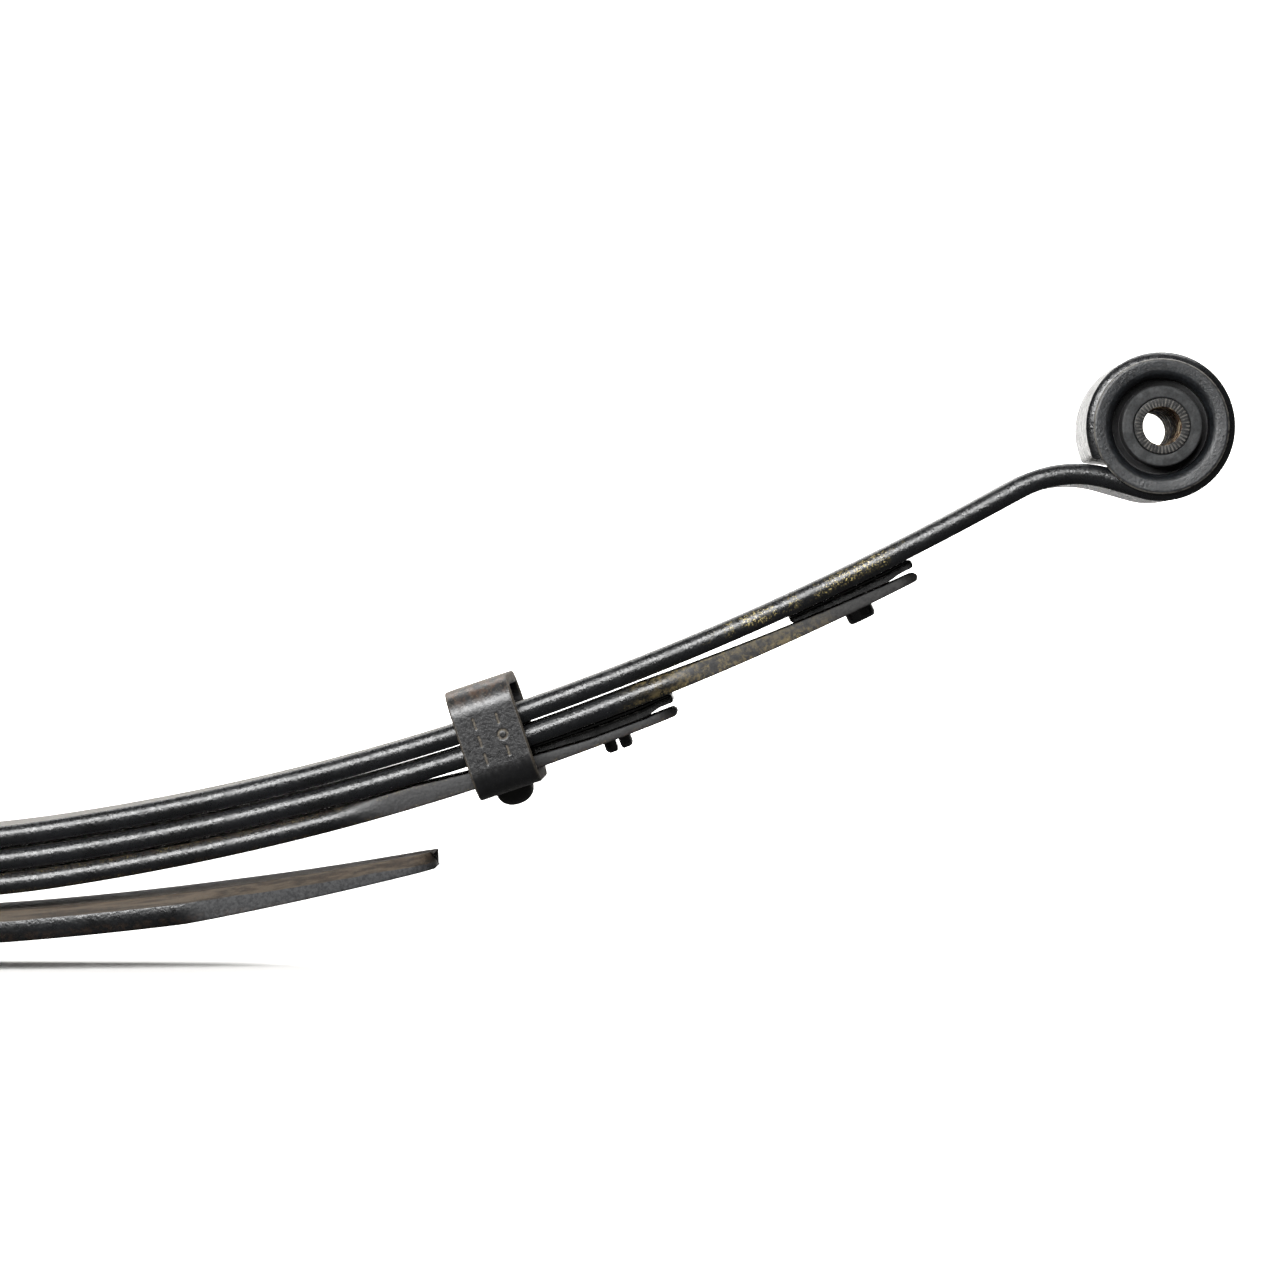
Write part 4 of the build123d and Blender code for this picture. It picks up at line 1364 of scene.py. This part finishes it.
def backdrop():
    # floor that sweeps up into a wall behind; the spring sees the floor near it darker than the eye does
    material, tree = newMaterial("paleStudioPaper")
    pale = linear(studio["floor"])
    seen = addNode(tree, "ShaderNodeLightPath", {}, "Is Camera Ray")
    where = addNode(tree, "ShaderNodeTexCoord", {}, "Object")
    behind = addNode(tree, "ShaderNodeSeparateXYZ", {0: where}, 1)
    away = addNode(tree, "ShaderNodeVectorMath", {"operation": "LENGTH", 0: where}, "Value")
    onWall = addNode(tree, "ShaderNodeMapRange", softEdge | {0: behind, 1: 0.5, 2: studio["sweepBack"]})
    shown = addNode(tree, "ShaderNodeMath", {"operation": "MAXIMUM", 0: seen, 1: onWall})
    dark = [value * studio["floorDark"] for value in pale[:3]] + [1.0]
    glow = addNode(tree, "ShaderNodeMapRange", {0: away, 1: 1.0, 2: 2.4, 3: 0.0, 4: studio["floorGlow"]})
    paper = {"Base Color": layered(tree, dark, pale, shown), "Roughness": 0.9, "Specular IOR Level": 0.0}
    surfaced(tree, paper | {"Emission Color": pale, "Emission Strength": overlap(tree, (glow, seen))})
    low = cadBox[0][2] - 0.0002
    half, back, bend = studio["floorSize"] / 2, studio["sweepBack"], studio["sweepRadius"]
    profile = [(-half, low), (back, low)]
    turns = [pi / 2 * i / 24 for i in range(1, 25)]
    profile += [(back + bend * sin(turn), low + bend * (1 - cos(turn))) for turn in turns]
    profile.append((back + bend, studio["sweepHigh"]))
    mesh = bpy.data.meshes.new("studioFloor")
    points = [(side * half, y, z) for y, z in profile for side in (-1, 1)]
    mesh.from_pydata(points, [], [(2 * i, 2 * i + 1, 2 * i + 3, 2 * i + 2) for i in range(len(profile) - 1)])
    mesh.shade_smooth()
    newPiece("studioFloor", mesh, material)


backdrop()
world = bpy.data.worlds.new("studioAir")
world.use_nodes = True
bpy.context.scene.world = world
air = world.node_tree
air.nodes.clear()
seen = addNode(air, "ShaderNodeLightPath", {}, "Is Camera Ray")
power = addNode(air, "ShaderNodeMix", {0: seen, 2: studio["airFill"], 3: studio["air"]})
glow = addNode(air, "ShaderNodeBackground", {0: (1, 1, 1, 1), 1: power})
addNode(air, "ShaderNodeOutputWorld", {0: glow})
for name, spot, target, width, height, watts in softboxes:
    light = bpy.data.lights.new(name, "AREA")
    light.shape, light.size, light.size_y, light.energy = "RECTANGLE", width, height, watts
    aimed(bpy.data.objects.new(name, light), spot, target)

camera = aimed(bpy.data.objects.new("camera", bpy.data.cameras.new("camera")), studio["eyePoint"], studio["lookAt"])
camera.data.lens, camera.data.sensor_width, camera.data.clip_end = studio["lens"], 36.0, 50.0
bpy.context.scene.camera = camera
bpy.context.scene.view_settings.view_transform = "Standard"
print("studio set")
